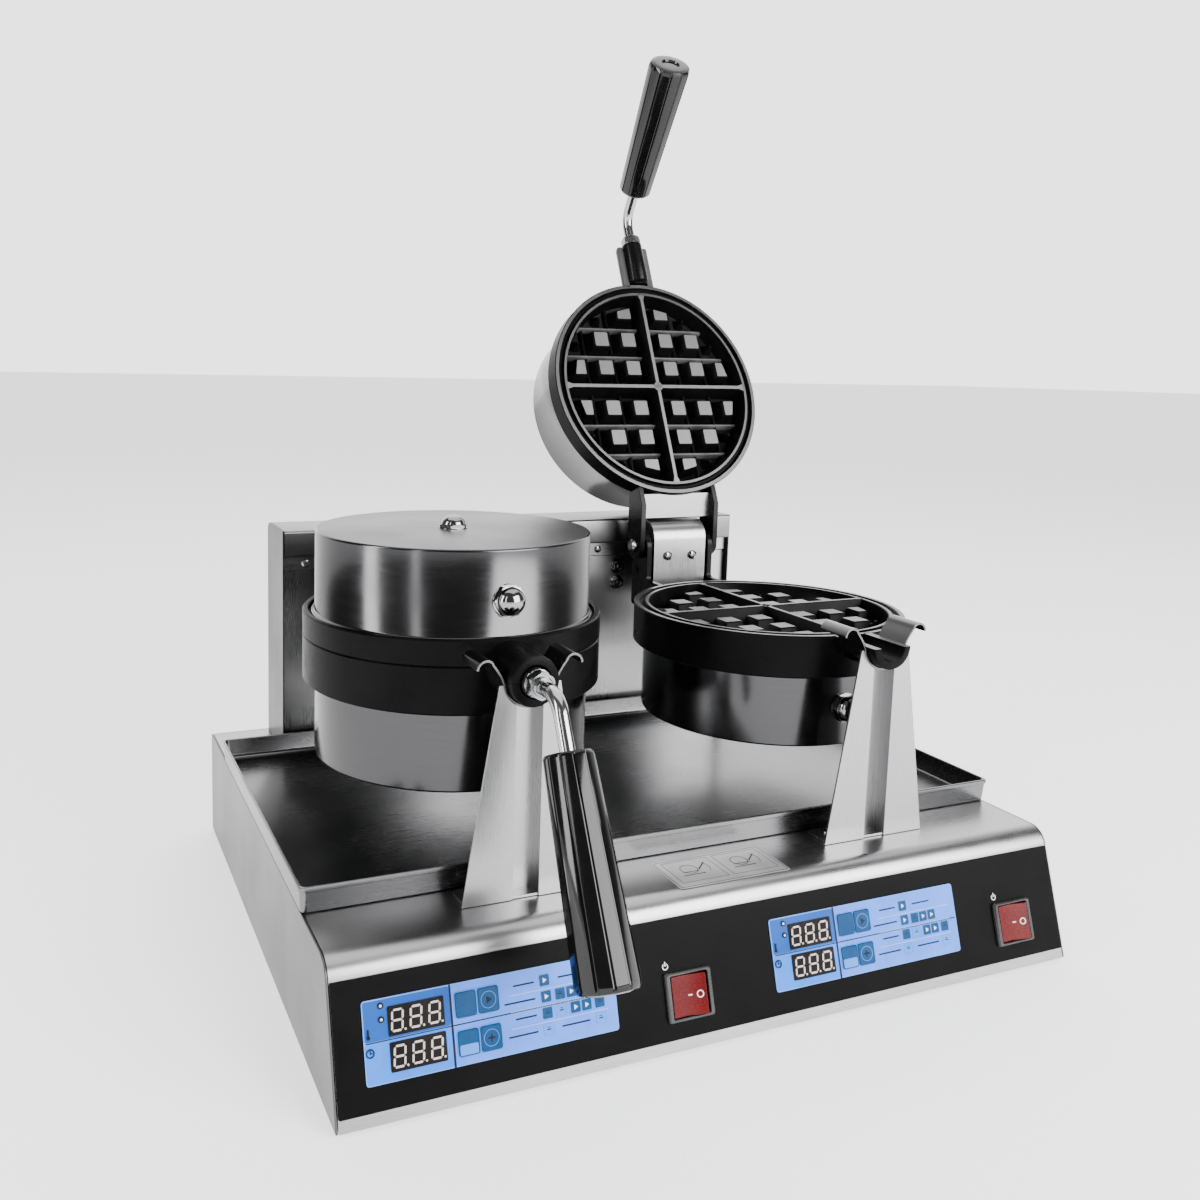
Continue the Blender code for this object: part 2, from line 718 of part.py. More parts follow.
def build_hinge(hand, x, rotor, lid):
    cheek = [
        (0.0700, 0.1935),
        (0.1320, 0.1935),
        (0.1320, 0.2500),
        (0.1290, 0.2575),
        (0.1201, 0.2610),
        (0.1120, 0.2580),
        (0.1062, 0.2500),
        (0.1062, 0.2190),
        (0.0700, 0.2190),
    ]
    cover = [
        (0.1063, 0.1960),
        (0.1063, 0.2480),
        (0.1072, 0.2558),
        (0.1097, 0.2624),
        (0.1140, 0.2674),
        (0.1197, 0.2701),
        (0.1237, 0.2706),
    ]
    left = prism(cheek, "x", x - CHEEK_OUTER, x - CHEEK_INNER)
    bracket = node(f"hinge_bracket_{hand}", left, "black_paint", rotor)
    back = box((x - 0.0300, 0.1290, 0.1942), (x + 0.0300, 0.1317, 0.2490))
    right = prism(cheek, "x", x + CHEEK_INNER, x + CHEEK_OUTER)
    skin = prism(ribbon(cover, THIN_SHEET), "x", x - 0.0293, x + 0.0293)
    combine(bracket, "UNION", merged(right, back, skin), rotor, with_self=True)
    hole = cylinder("x", (HINGE_Y, HINGE_Z), PIN_RADIUS + GAP, x - 0.06, x + 0.06)
    combine(bracket, "DIFFERENCE", merged(hole, ring_cutter(x)), rotor)
    axle = [(0.0080, 0.1320), (AXLE_RADIUS, 0.1320), (AXLE_RADIUS, 0.1720), (0.0080, 0.1720)]
    node(f"rear_axle_{hand}", moved(lathe(axle, 24, "y"), x, 0, AXIS_Z), "zinc", rotor, smooth=True)
    pin = [
        (0, -0.0430),
        (0.0060, -0.0430),
        (0.0060, -0.0398),
        (PIN_RADIUS, -0.0398),
        (PIN_RADIUS, 0.0398),
        (0.0060, 0.0398),
        (0.0060, 0.0430),
        (0, 0.0430),
    ]
    node(f"hinge_pin_{hand}", moved(lathe(pin, 16, "x"), x, HINGE_Y, HINGE_Z), "zinc", rotor, smooth=True)
    arm = [(0.0700, 0.2225), (0.0912, 0.2225)]
    arm += arc((HINGE_Y, HINGE_Z), ARM_ROUND, -65.5, 114.5, 10)
    arm += [(0.0698, 0.2381)]
    first = prism(arm, "x", x - ARM_OUTER, x - ARM_INNER)
    arms = node(f"hinge_arms_{hand}", first, "black_paint", lid)
    second = prism(arm, "x", x + ARM_INNER, x + ARM_OUTER)
    bridge = [(0.0985, 0.2375), (0.0995, 0.2353), (0.0800, 0.2264), (0.0790, 0.2286)]
    plate = prism(bridge, "x", x - 0.0352, x + 0.0352)
    combine(arms, "UNION", merged(second, plate), lid, with_self=True)
    hole = cylinder("x", (HINGE_Y, HINGE_Z), PIN_RADIUS + GAP, x - 0.06, x + 0.06)
    combine(arms, "DIFFERENCE", merged(hole, ring_cutter(x)), lid)


def build_handle(hand, x, lid):
    roll = Matrix.Rotation(HANDLE_ROLL[hand], 4, "Y")
    set_in = Matrix.Translation((x, 0, AXIS_Z)) @ roll @ Matrix.Translation((0, 0, -AXIS_Z))
    stem = cylinder("y", (0, AXIS_Z), STEM_RADIUS, -0.1640, -0.1242, 24)
    node(f"stem_{hand}", moved(stem, x), "black_paint", lid, smooth=True)
    down = (GRIP_END - GRIP_START).normalized()
    corner = GRIP_START + down * ((AXIS_Z - GRIP_START.z) / down.z)
    turn = math.acos(-down.y)
    reach = ROD_BEND * math.tan(turn / 2)
    begin = corner + Vector((0, reach, 0))
    path = [Vector((0, -0.1660, AXIS_Z)), Vector((0, -0.1740, AXIS_Z))]
    centre = begin - Vector((0, 0, ROD_BEND))
    for i in range(7):
        angle = turn * i / 6
        path.append(centre + ROD_BEND * Vector((0, -math.sin(angle), math.cos(angle))))
    path.append(GRIP_START + down * 0.030)
    path.append(GRIP_START + down * (GRIP_BORE - 0.001))
    bar = sweep(path, ROD_RADIUS, 10)
    bar.transform(set_in)
    rod = node(f"handle_rod_{hand}", bar, "polished_steel", lid, smooth=True)
    nut = cylinder("y", (x, AXIS_Z), 0.0089, -0.1713, -0.1643, 6)
    combine(rod, "UNION", nut, lid)
    length = (GRIP_END - GRIP_START).length
    profile = [
        (0, GRIP_BORE),
        (ROD_RADIUS + GAP, GRIP_BORE),
        (ROD_RADIUS + GAP, 0),
        (0.0134, 0),
        (0.0146, 0.0014),
        (0.0180, length - 0.0040),
        (0.0166, length - 0.0005),
        (0, length),
    ]
    grip = lathe(profile, 20)
    grip.transform(down.to_track_quat("Z", "Y").to_matrix().to_4x4())
    moved(grip, *GRIP_START)
    grip.transform(set_in)
    node(f"grip_{hand}", grip, "bakelite", lid, smooth=True)


def build_iron(hand, root, turn):
    x = IRON_X[hand]
    rotor = body(f"iron_{hand}", (x, IRON_Y, AXIS_Z))
    lid = body(f"lid_{hand}", (x, HINGE_Y, HINGE_Z), -turn)
    build_half(hand, x, False, rotor)
    build_half(hand, x, True, lid)
    build_hinge(hand, x, rotor, lid)
    build_handle(hand, x, lid)
    build_post(hand, x, root)
    build_saddle(hand, x, root)


def build_controls(root):
    film = face_mesh(box((-0.2580, 0.0095, 0.0003), (0.2580, 0.0785, 0.0009)))
    overlay = node("control_overlay", film, "panel_film", root)
    combine(overlay, "DIFFERENCE", switch_holes(), root)
    for hand, (low, high) in zip(("left", "right"), DISPLAY_X):
        foil = face_mesh(box((low, DISPLAY_LOW, 0.0012), (high, DISPLAY_HIGH, 0.0018)))
        display = node(f"display_{hand}", foil, "display_blue", root)
        keys = []
        for dx in KEY_X:
            for u in KEY_U:
                keys.append(block_on_face(low + dx, u, KEY_HALF, 0.0014, 0.0024))
        combine(display, "UNION", merged(*keys), root)
    for hand, x in zip(("left", "right"), SWITCH_X):
        rings = [
            rectangle(x, SWITCH_U, *BEZEL_OUTER, 0.0012),
            rectangle(x, SWITCH_U, *BEZEL_FACE, 0.0036),
            rectangle(x, SWITCH_U, *BEZEL_INNER, 0.0036),
            rectangle(x, SWITCH_U, *BEZEL_INNER, -BEZEL_DEPTH),
            rectangle(x, SWITCH_U, *BEZEL_BODY, -BEZEL_DEPTH),
            rectangle(x, SWITCH_U, *BEZEL_BODY, 0.0012),
        ]
        node(f"bezel_{hand}", face_mesh(stack(rings, loop=True)), "switch_black", root)
        outline = [
            (-ROCKER_HALF[0], 0.0048),
            (0.0, 0.0032),
            (ROCKER_HALF[0], 0.0048),
            (0.0095, -0.0100),
            (-0.0095, -0.0100),
        ]
        tilted = []
        for a, b in outline:
            turned = Matrix.Rotation(ROCKER_TILT, 2) @ Vector((a, b - ROCKER_PIVOT))
            tilted.append((x + turned.x, ROCKER_PIVOT + turned.y))
        key = prism(tilted, "y", SWITCH_U - ROCKER_HALF[1], SWITCH_U + ROCKER_HALF[1])
        up = Vector((0, FACE_SETBACK, BASE_TOP)).normalized()
        out = Vector((0, -BASE_TOP, FACE_SETBACK)).normalized()
        pivot = Vector((x, -BASE_DEPTH / 2, 0)) + up * SWITCH_U + out * ROCKER_PIVOT
        node(f"rocker_{hand}", face_mesh(key), "switch_red", body(f"switch_{hand}", pivot))


clear_scene()
principled_slots = {name: principled(name) for name in MATERIALS}
chassis_body = body("chassis", (0, 0, 0))
build_chassis(chassis_body)
build_electrics(chassis_body)
build_riser(chassis_body)
build_controls(chassis_body)
build_tray(body("tray", (0, 0, BASE_TOP)))
build_iron("left", chassis_body, 0.0)
build_iron("right", chassis_body, OPEN_ANGLE)
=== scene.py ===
import math

import bmesh
import bpy
from mathutils import Matrix, Vector


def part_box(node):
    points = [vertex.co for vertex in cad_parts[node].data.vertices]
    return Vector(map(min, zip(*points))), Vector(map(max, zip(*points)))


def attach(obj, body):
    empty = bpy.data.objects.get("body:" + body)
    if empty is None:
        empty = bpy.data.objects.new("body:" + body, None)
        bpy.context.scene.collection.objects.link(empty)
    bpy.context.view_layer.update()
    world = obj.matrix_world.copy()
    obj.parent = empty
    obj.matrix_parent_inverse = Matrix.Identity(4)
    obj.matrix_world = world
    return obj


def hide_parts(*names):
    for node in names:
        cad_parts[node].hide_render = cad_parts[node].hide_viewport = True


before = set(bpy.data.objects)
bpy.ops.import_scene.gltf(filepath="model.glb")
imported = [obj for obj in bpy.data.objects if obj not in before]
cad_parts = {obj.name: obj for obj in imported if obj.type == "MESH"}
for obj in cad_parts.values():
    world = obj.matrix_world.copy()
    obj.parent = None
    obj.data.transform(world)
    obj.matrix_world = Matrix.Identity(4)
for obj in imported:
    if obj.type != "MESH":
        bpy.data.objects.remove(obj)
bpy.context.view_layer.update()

# Chassis
BASE_HALF = 0.26
BASE_BACK = 0.21
BASE_TOP = 0.086
SETBACK = 0.0267
BEND = 0.014
SHEET = 0.0015
THIN = 0.0012
GAP = 0.0003
PAN_BOTTOM = 0.0025
TRAY_FRONT, TRAY_BACK, TRAY_RIM, TRAY_FLARE = -0.1293, 0.142, 0.1026, 0.0016
RISER_HALF, RISER_FRONT, RISER_BACK = 0.212, 0.1451, 0.2066
RISER_TOP, RISER_LIP, RISER_PANEL, RISER_BEND = 0.2686, 0.0216, 0.1525, 0.008

# Irons, measured from the centre of their seam
RING, CAN, BORE, DEPTH, SEAM = 0.1025, 0.0943, 0.0915, 0.017, 0.00015
RING_HEIGHT = {-1: 0.0306, 1: 0.0168}
CAN_HEIGHT = {-1: 0.0825, 1: 0.0709}
PEGS = (0.0195, 0.0475, 0.0755)
PEG_TOP, PEG_BASE, PEG_RECESS, PEG_LIMIT = 0.008, 0.0102, 0.004, 0.0815
STUDS = ((0.07, 0.0445), (0.0445, 0.07))
WEBS, LOW_WEB, HIGH_WEB = (0.0335, 0.0615), 0.003, 0.0046
JOURNAL, JOURNAL_BORE, JOURNAL_FRONT = 0.0155, 0.0096, -0.141
STEM = 0.0093
ARM_INNER, ARM_OUTER, ARM_ROUND = 0.0345, 0.0395, 0.0115
CHEEK_INNER, CHEEK_OUTER = 0.0285, 0.0335
OPEN_ANGLE = math.radians(114.5)
ROLL = {"left": 0.0, "right": math.radians(6.3)}
ROD, ROD_BEND = 0.00475, 0.018
GRIP_START = Vector((0.0, -0.1846, -0.0276))
GRIP_END = Vector((0.0, -0.2396, -0.1373))
GRIP_BORE = 0.068
BOLT_X, BOLT_Z = 0.038, (0.2093, 0.2243)

# Posts and saddles
POST_FRONT, POST_FOOT, POST_SHOULDER, SHOULDER_Z = -0.1548, 0.0412, 0.0198, 0.219
SADDLE, SADDLE_DEPTH, CHANNEL = 0.01665, 0.026, 0.0096

# Control face, in x, u (up the slope) and n (out of it)
SWITCH_U = 0.0336
SWITCH_X = {"left": -0.0413, "right": 0.217}
SWITCH_HOLE = (0.0141, 0.0136)
ROCKER_PIVOT, ROCKER_TILT = -0.004, math.radians(8)
DISPLAYS = {"left": (-0.242, -0.09), "right": (0.0207, 0.1684)}
FOIL_LOW, FOIL_MIDDLE, FOIL_HIGH = 0.0229, 0.0445, 0.0662
FOIL_FACE, FOIL, FIELD, RAISED, PRINT = 0.0017, 0.0018, 0.0019, 0.0023, 0.0024
FOIL_PARTS = 152

shift_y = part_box("side_panel_left")[1].y - BASE_BACK
axle_low, axle_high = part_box("rear_axle_left")
pin_low, pin_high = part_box("hinge_pin_right")
axis_z = (axle_low.z + axle_high.z) / 2
iron_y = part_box("can_lower_left")[1].y - CAN
hinge = Vector((0, (pin_low.y + pin_high.y) / 2 - iron_y, (pin_low.z + pin_high.z) / 2 - axis_z))
iron_x = {hand: sum(c.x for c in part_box(f"grid_lower_{hand}")) / 2 for hand in ("left", "right")}

BASE = Matrix.Translation((0, shift_y, 0))
lean = math.hypot(SETBACK, BASE_TOP)
up = Vector((0, SETBACK, BASE_TOP)) / lean
out = Vector((0, -BASE_TOP, SETBACK)) / lean
FACE = BASE @ Matrix(((1, 0, 0, 0), (0, up.y, out.y, -BASE_BACK), (0, up.z, out.z, 0), (0, 0, 0, 1)))
IRON = {hand: Matrix.Translation((x, iron_y, axis_z)) for hand, x in iron_x.items()}
swing = Matrix.Translation(hinge) @ Matrix.Rotation(-OPEN_ANGLE, 4, "X") @ Matrix.Translation(-hinge)
LID = {"left": IRON["left"], "right": IRON["right"] @ swing}
LOWER_BODY = {"left": "iron_left", "right": "chassis"}


# ---- meshes

def mesh_of(points, faces):
    mesh = bpy.data.meshes.new("part")
    mesh.from_pydata([tuple(p) for p in points], [], faces)
    bm = bmesh.new()
    bm.from_mesh(mesh)
    bmesh.ops.recalc_face_normals(bm, faces=bm.faces)
    bm.to_mesh(mesh)
    bm.free()
    return mesh


def stack(rings, loop=False):
    """Joins rings of the same count, capping the ends or closing into a loop."""
    count = len(rings[0])
    points = [p for ring in rings for p in ring]
    faces = []
    for i in range(len(rings) if loop else len(rings) - 1):
        a = i * count
        b = ((i + 1) % len(rings)) * count
        for j in range(count):
            k = (j + 1) % count
            faces.append((a + j, a + k, b + k, b + j))
    if not loop:
        faces.append(tuple(range(count)))
        faces.append(tuple(range(len(points) - count, len(points))))
    return mesh_of(points, faces)


def on_axis(axis, along, a, b):
    return Vector({"x": (along, a, b), "y": (a, along, b), "z": (a, b, along)}[axis])


def layers(outlines, axis="z", loop=False):
    """A stack of flat outlines, each given with its place along the axis."""
    return stack([[on_axis(axis, at, a, b) for a, b in outline] for at, outline in outlines], loop)


def prism(outline, axis, low, high):
    return layers([(low, outline), (high, outline)], axis)


def box(low, high):
    return prism(span(low[0], high[0], low[1], high[1]), "z", low[2], high[2])


def arc(centre, radius, start, end, steps):
    found = []
    for i in range(steps + 1):
        angle = math.radians(start + (end - start) * i / steps)
        found.append((centre[0] + radius * math.cos(angle), centre[1] + radius * math.sin(angle)))
    return found


def circle(centre, radius, count=32):
    return arc(centre, radius, 0, 360, count)[:-1]


def disc(radius):
    return circle((0, 0), radius, 48)


def lathe(profile, sides=96, axis="z"):
    """Turns (radius, height) points about an axis; radius 0 at both ends closes the surface."""
    points = []
    starts = []
    for radius, height in profile:
        starts.append(len(points))
        if radius == 0:
            points.append(on_axis(axis, height, 0.0, 0.0))
        else:
            points += [on_axis(axis, height, a, b) for a, b in circle((0, 0), radius, sides)]
    poles = profile[0][0] == 0 and profile[-1][0] == 0
    faces = []
    for i in range(len(profile) - 1 if poles else len(profile)):
        k = (i + 1) % len(profile)
        for j in range(sides):
            m = (j + 1) % sides
            if profile[i][0] == 0:
                faces.append((starts[i], starts[k] + j, starts[k] + m))
            elif profile[k][0] == 0:
                faces.append((starts[i] + j, starts[i] + m, starts[k]))
            else:
                faces.append((starts[i] + j, starts[i] + m, starts[k] + m, starts[k] + j))
    return mesh_of(points, faces)


def sweep(path, radius, sides=24):
    """A round bar along a path."""
    rings = []
    side = None
    for i, point in enumerate(path):
        ahead = (path[min(i + 1, len(path) - 1)] - path[max(i - 1, 0)]).normalized()
        side = side or ahead.orthogonal()
        side = (side - ahead * side.dot(ahead)).normalized()
        other = ahead.cross(side)
        rings.append([point + a * side + b * other for a, b in circle((0, 0), radius, sides)])
    return stack(rings)


def ribbon(path, thickness):
    """The outline of a bent sheet: a centre line given a thickness."""
    left = []
    right = []
    for i, point in enumerate(path):
        along = Vector(path[min(i + 1, len(path) - 1)]) - Vector(path[max(i - 1, 0)])
        along.normalize()
        normal = Vector((-along.y, along.x)) * thickness / 2
        left.append(tuple(Vector(point) + normal))
        right.append(tuple(Vector(point) - normal))
    return left + right[::-1]


def rounded(outline, radius, steps=4):
    """Rounds the corners of an outline."""
    found = []
    for i, corner in enumerate(outline):
        here = Vector(corner)
        before = Vector(outline[i - 1]) - here
        after = Vector(outline[(i + 1) % len(outline)]) - here
        reach = min(radius, before.length * 0.45, after.length * 0.45)
        a = here + before.normalized() * reach
        b = here + after.normalized() * reach
        for s in range(steps + 1):
            t = s / steps
            found.append(tuple(a * (1 - t) ** 2 + here * 2 * t * (1 - t) + b * t * t))
    return found


def rectangle(x, y, half_x, half_y, radius=0.0, steps=4):
    corners = [(x + a * half_x, y + b * half_y) for a, b in ((-1, -1), (1, -1), (1, 1), (-1, 1))]
    return rounded(corners, radius, steps) if radius else corners


def span(start, end, bottom, top, radius=0.0):
    """A rectangle given by its edges."""
    return rectangle((start + end) / 2, (bottom + top) / 2, (end - start) / 2, (top - bottom) / 2, radius)


def hexagon(radius, cap, count=48):
    """A hexagon cut back by a circle, as a chamfered nut is."""
    half_side = math.pi / 6
    points = []
    for i in range(count):
        angle = 2 * math.pi * i / count
        from_middle = (angle + half_side) % (2 * half_side) - half_side
        reach = min(radius * math.cos(half_side) / math.cos(from_middle), cap)
        points.append((reach * math.cos(angle + half_side), reach * math.sin(angle + half_side)))
    return points


def merged(meshes):
    bm = bmesh.new()
    for mesh in meshes:
        bm.from_mesh(mesh)
    together = bpy.data.meshes.new("part")
    bm.to_mesh(together)
    bm.free()
    return together


def moved(mesh, x=0.0, y=0.0, z=0.0):
    mesh.transform(Matrix.Translation((x, y, z)))
    return mesh


def turned(mesh, degrees, axis):
    mesh.transform(Matrix.Rotation(math.radians(degrees), 4, axis))
    return mesh


def boolean(mesh, operation, other):
    """The result of an exact boolean of two meshes."""
    first = bpy.data.objects.new("first", mesh)
    second = bpy.data.objects.new("second", other)
    for obj in (first, second):
        bpy.context.scene.collection.objects.link(obj)
    modifier = first.modifiers.new("boolean", "BOOLEAN")
    modifier.operation = operation
    modifier.solver = "EXACT"
    modifier.use_self = True
    modifier.object = second
    view = bpy.context.evaluated_depsgraph_get()
    made = bpy.data.meshes.new_from_object(first.evaluated_get(view))
    for obj in (first, second):
        bpy.data.objects.remove(obj, do_unlink=True)
    return made


# ---- materials

class Surface:
    """A Principled material with short ways to add texture nodes in object coordinates."""

    def __init__(self, name, colour, metallic, roughness, **settings):
        self.material = bpy.data.materials.new(name)
        self.material.use_nodes = True
        self.tree = self.material.node_tree
        self.shader = self.tree.nodes["Principled BSDF"]
        self.colour = colour
        self.roughness = roughness
        self.normal = None
        self.place = self.tree.nodes.new("ShaderNodeTexCoord").outputs["Object"]
        fixed = {"Base Color": (*colour, 1.0), "Metallic": metallic, "Roughness": roughness}
        for key, value in {**fixed, **settings}.items():
            self.shader.inputs[key].default_value = value

    def node(self, kind, output, inputs, **settings):
        made = self.tree.nodes.new(kind)
        for key, value in settings.items():
            setattr(made, key, value)
        for key, value in inputs.items():
            if isinstance(value, bpy.types.NodeSocket):
                self.tree.links.new(value, made.inputs[key])
            else:
                made.inputs[key].default_value = value
        return made.outputs[output]

    def noise(self, stretch, detail=3.0):
        vector = self.node("ShaderNodeMapping", "Vector", {"Vector": self.place, "Scale": stretch})
        return self.node("ShaderNodeTexNoise", "Fac", {"Vector": vector, "Scale": 1.0, "Detail": detail})

    def spread(self, value, low, high, start=0.35, end=0.65):
        inputs = {"Value": value, "From Min": start, "From Max": end, "To Min": low, "To Max": high}
        return self.node("ShaderNodeMapRange", "Result", inputs)

    def add(self, a, b):
        return self.node("ShaderNodeMath", "Value", {0: a, 1: b}, operation="ADD")

    def shade(self, value, low, high):
        """Colour varies between two multiples of the base colour."""
        factor = self.spread(value, 0.0, 1.0)
        dark = (*[c * low for c in self.colour], 1.0)
        light = (*[min(c * high, 1.0) for c in self.colour], 1.0)
        mixed = self.node("ShaderNodeMix", 2, {0: factor, 6: dark, 7: light}, data_type="RGBA")
        self.tree.links.new(mixed, self.shader.inputs["Base Color"])

    def rough(self, value, swing, more=None, more_swing=0.0):
        level = self.spread(value, self.roughness - swing, self.roughness + swing)
        if more:
            level = self.add(level, self.spread(more, -more_swing, more_swing))
        self.tree.links.new(level, self.shader.inputs["Roughness"])

    def bump(self, value, strength, distance):
        inputs = {"Height": value, "Strength": strength, "Distance": distance}
        if self.normal:
            inputs["Normal"] = self.normal
        self.normal = self.node("ShaderNodeBump", "Normal", inputs)
        self.tree.links.new(self.normal, self.shader.inputs["Normal"])


def brushed(name, grain, colour=(0.36, 0.36, 0.365), roughness=0.3, round_bands=False):
    """Brushed sheet: fine lines along one axis, or round the axis of a can."""
    steel = Surface(name, colour, 1.0, roughness, **{"Anisotropic": 0.5 if round_bands else 0.0})
    lines = steel.noise([2600.0 * g for g in grain], 2.0)
    cloud = steel.noise((16.0, 16.0, 16.0), 3.0)
    steel.shade(lines, 0.95, 1.03)
    steel.rough(lines, 0.02, cloud, 0.03)
    steel.bump(lines, 0.025, 0.0001)
    if round_bands:
        steel.bump(steel.noise((24.0, 24.0, 0.0), 2.0), 0.12, 0.0006)
        tangent = steel.node("ShaderNodeTangent", "Tangent", {}, direction_type="RADIAL", axis="Z")
        steel.tree.links.new(tangent, steel.shader.inputs["Tangent"])
    return steel.material


def speckled(name, colour, metallic, roughness, size, depth, shade=(0.85, 1.15), swing=0.05, specular=0.5,
             **settings):
    """A cast, moulded or painted surface with a fine grain of one size in metres."""
    made = Surface(name, colour, metallic, roughness, **{"Specular IOR Level": specular}, **settings)
    grain = made.noise([1.0 / size] * 3, 3.0)
    cloud = made.noise((35.0, 35.0, 35.0), 3.0)
    made.shade(cloud, *shade)
    made.rough(grain, swing, cloud, swing)
    made.bump(grain, 0.35, depth)
    return made.material


def ink(name, colour, roughness=0.35, glow=0.0):
    settings = {"Emission Color": (*colour, 1.0), "Emission Strength": glow} if glow else {}
    return speckled(name, colour, 0.0, roughness, 0.0004, 0.00001, (0.93, 1.07), 0.04, 0.15, **settings)


def grey(level):
    return (level, level, level)


ALONG_X, ALONG_Y, ALONG_Z, AROUND = (0.02, 1, 1), (1, 0.02, 1), (1, 1, 0.02), (0.02, 0.02, 1)
STEEL_X = brushed("steel_along_x", ALONG_X)
STEEL_Z = brushed("steel_along_z", ALONG_Z)
STEEL_SIDE = brushed("steel_side", ALONG_Y, (0.1, 0.1, 0.102), 0.34)
STEEL_TRAY = brushed("steel_tray", ALONG_X, (0.16, 0.16, 0.163), 0.26)
STEEL_CAN = brushed("steel_can", AROUND, (0.068, 0.068, 0.07), 0.17, True)
STEEL_LID = brushed("steel_lid_top", (1, 0.6, 1), (0.075, 0.075, 0.077), 0.36)
STEEL_CHEEK = brushed("steel_cheek", ALONG_Z, (0.07, 0.07, 0.072), 0.36)
STEEL_CAP = brushed("steel_cap", ALONG_X, (0.17, 0.17, 0.173), 0.32)
SADDLE_STEEL = brushed("steel_saddle", ALONG_Y, (0.13, 0.13, 0.132), 0.2)
POLISHED = brushed("steel_polished", ALONG_Y, (0.42, 0.42, 0.43), 0.16)
CHROME = brushed("steel_chrome", ALONG_Y, (0.26, 0.26, 0.265), 0.12)
ZINC = speckled("zinc_plated", (0.26, 0.262, 0.265), 1.0, 0.22, 0.0012, 0.00003)
CAST = speckled("cast_black", grey(0.0025), 0.0, 0.34, 0.0011, 0.00006, (0.7, 1.4), 0.06, 0.05)
# A lighter grey for the webs along x only: a painted highlight for their lit upper flanks.
PAINTED_LIT_WEB = speckled("cast_painted_lit_web", grey(0.075), 0.3, 0.45, 0.0011, 0.00006, (0.7, 1.4), 0.06)
MILLED = brushed("cast_milled", (1, 0.05, 1), grey(0.17), 0.42)
RIM = brushed("cast_rim", AROUND, grey(0.12), 0.38)
PAINT = speckled("black_paint", grey(0.003), 0.0, 0.26, 0.0009, 0.00002, specular=0.12)
BAKELITE = speckled("bakelite", grey(0.003), 0.0, 0.1, 0.0006, 0.000006, (0.8, 1.3), 0.03, 0.3,
                    **{"Coat Weight": 0.15, "Coat Roughness": 0.05})
FILM = speckled("panel_film", (0.002, 0.002, 0.0022), 0.0, 0.36, 0.0005, 0.00001, (0.85, 1.2), 0.04, 0.05)
FOIL_DEEP = ink("foil_deep_blue", (0.0008, 0.075, 0.36), 0.3)
FOIL_MID = ink("foil_mid_blue", (0.022, 0.2, 0.82), 0.3)
FOIL_PALE = ink("foil_pale_blue", (0.085, 0.23, 0.86), 0.3)
FOIL_EDGE = ink("foil_edge", (0.14, 0.32, 0.8), 0.3)
KEY = ink("key_teal", (0.0004, 0.048, 0.15), 0.28)
KEY_LIGHT = ink("key_outline", (0.07, 0.25, 0.75), 0.28)
WINDOW = ink("window_brown", (0.0045, 0.0025, 0.002), 0.2)
DIGIT = ink("digit", (0.55, 0.5, 0.47), 0.4, 0.1)
DARK_INK = ink("ink_dark", (0.003, 0.006, 0.018))
WHITE_INK = ink("ink_white", grey(0.8))
GREY_INK = ink("ink_grey", grey(0.03))
LABEL = speckled("label_foil", grey(0.52), 0.6, 0.38, 0.0008, 0.00002)
BLACK = speckled("switch_black", grey(0.018), 0.0, 0.28, 0.0005, 0.00002)
RED = speckled("switch_red", (0.1, 0.0001, 0.0008), 0.0, 0.28, 0.0008, 0.00001, (0.9, 1.1), 0.03, 0.2)
RUBBER = speckled("rubber", grey(0.022), 0.0, 0.75, 0.0006, 0.00006)
BOARD = speckled("board", (0.02, 0.13, 0.06), 0.0, 0.42, 0.001, 0.00002)
CORE = speckled("core", (0.2, 0.19, 0.17), 0.7, 0.5, 0.0008, 0.0001)
CERAMIC = speckled("ceramic", (0.68, 0.66, 0.61), 0.0, 0.48, 0.0006, 0.00002)
ELEMENT = speckled("element", (0.16, 0.14, 0.12), 0.9, 0.42, 0.0012, 0.00003)


def mark_borders(mesh):
    """Makes every edge between two finishes sharp."""
    bm = bmesh.new()
    bm.from_mesh(mesh)
    for edge in bm.edges:
        if len({face.material_index for face in edge.link_faces}) > 1:
            edge.smooth = False
    bm.to_mesh(mesh)
    bm.free()


def piece(name, mesh, materials, body="chassis", at=BASE, replaces=(), bevel=0.0, steps=2, angle=35):
    """Places a mesh on a body with its finish, smooth shading and bevelled edges."""
    obj = bpy.data.objects.new(name, mesh)
    for material in materials if isinstance(materials, (list, tuple)) else (materials,):
        mesh.materials.append(material)
    bpy.context.scene.collection.objects.link(obj)
    mesh.shade_smooth()
    if bevel:
        edges = obj.modifiers.new("bevel", "BEVEL")
        edges.width = bevel
        edges.segments = steps
        edges.limit_method = "ANGLE"
        edges.angle_limit = math.radians(angle)
        edges.harden_normals = True
    else:
        mesh.set_sharp_from_angle(angle=math.radians(angle))
        mark_borders(mesh)
    obj.matrix_world = at
    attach(obj, body)
    if replaces:
        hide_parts(*replaces)
    return obj


def keep(node, material):
    """Gives a CAD node that is shown as it is a finish of its own."""
    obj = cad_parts[node]
    obj.data.materials.clear()
    obj.data.materials.append(material)


# ---- fasteners

def screw(radius=0.0034, height=0.0022):
    """A pan-head screw with a cross recess, standing on z = 0."""
    head = lathe([(0, -0.0004), (radius, -0.0004), (radius, height * 0.35), (radius * 0.9, height * 0.7),
                  (radius * 0.6, height * 0.95), (0, height)], 32)
    arm, half, low = radius * 0.62, 0.00045, height * 0.45
    cross = merged([box((-a, -b, low), (a, b, 0.01)) for a, b in ((arm, half), (half, arm))])
    return boolean(head, "DIFFERENCE", cross)


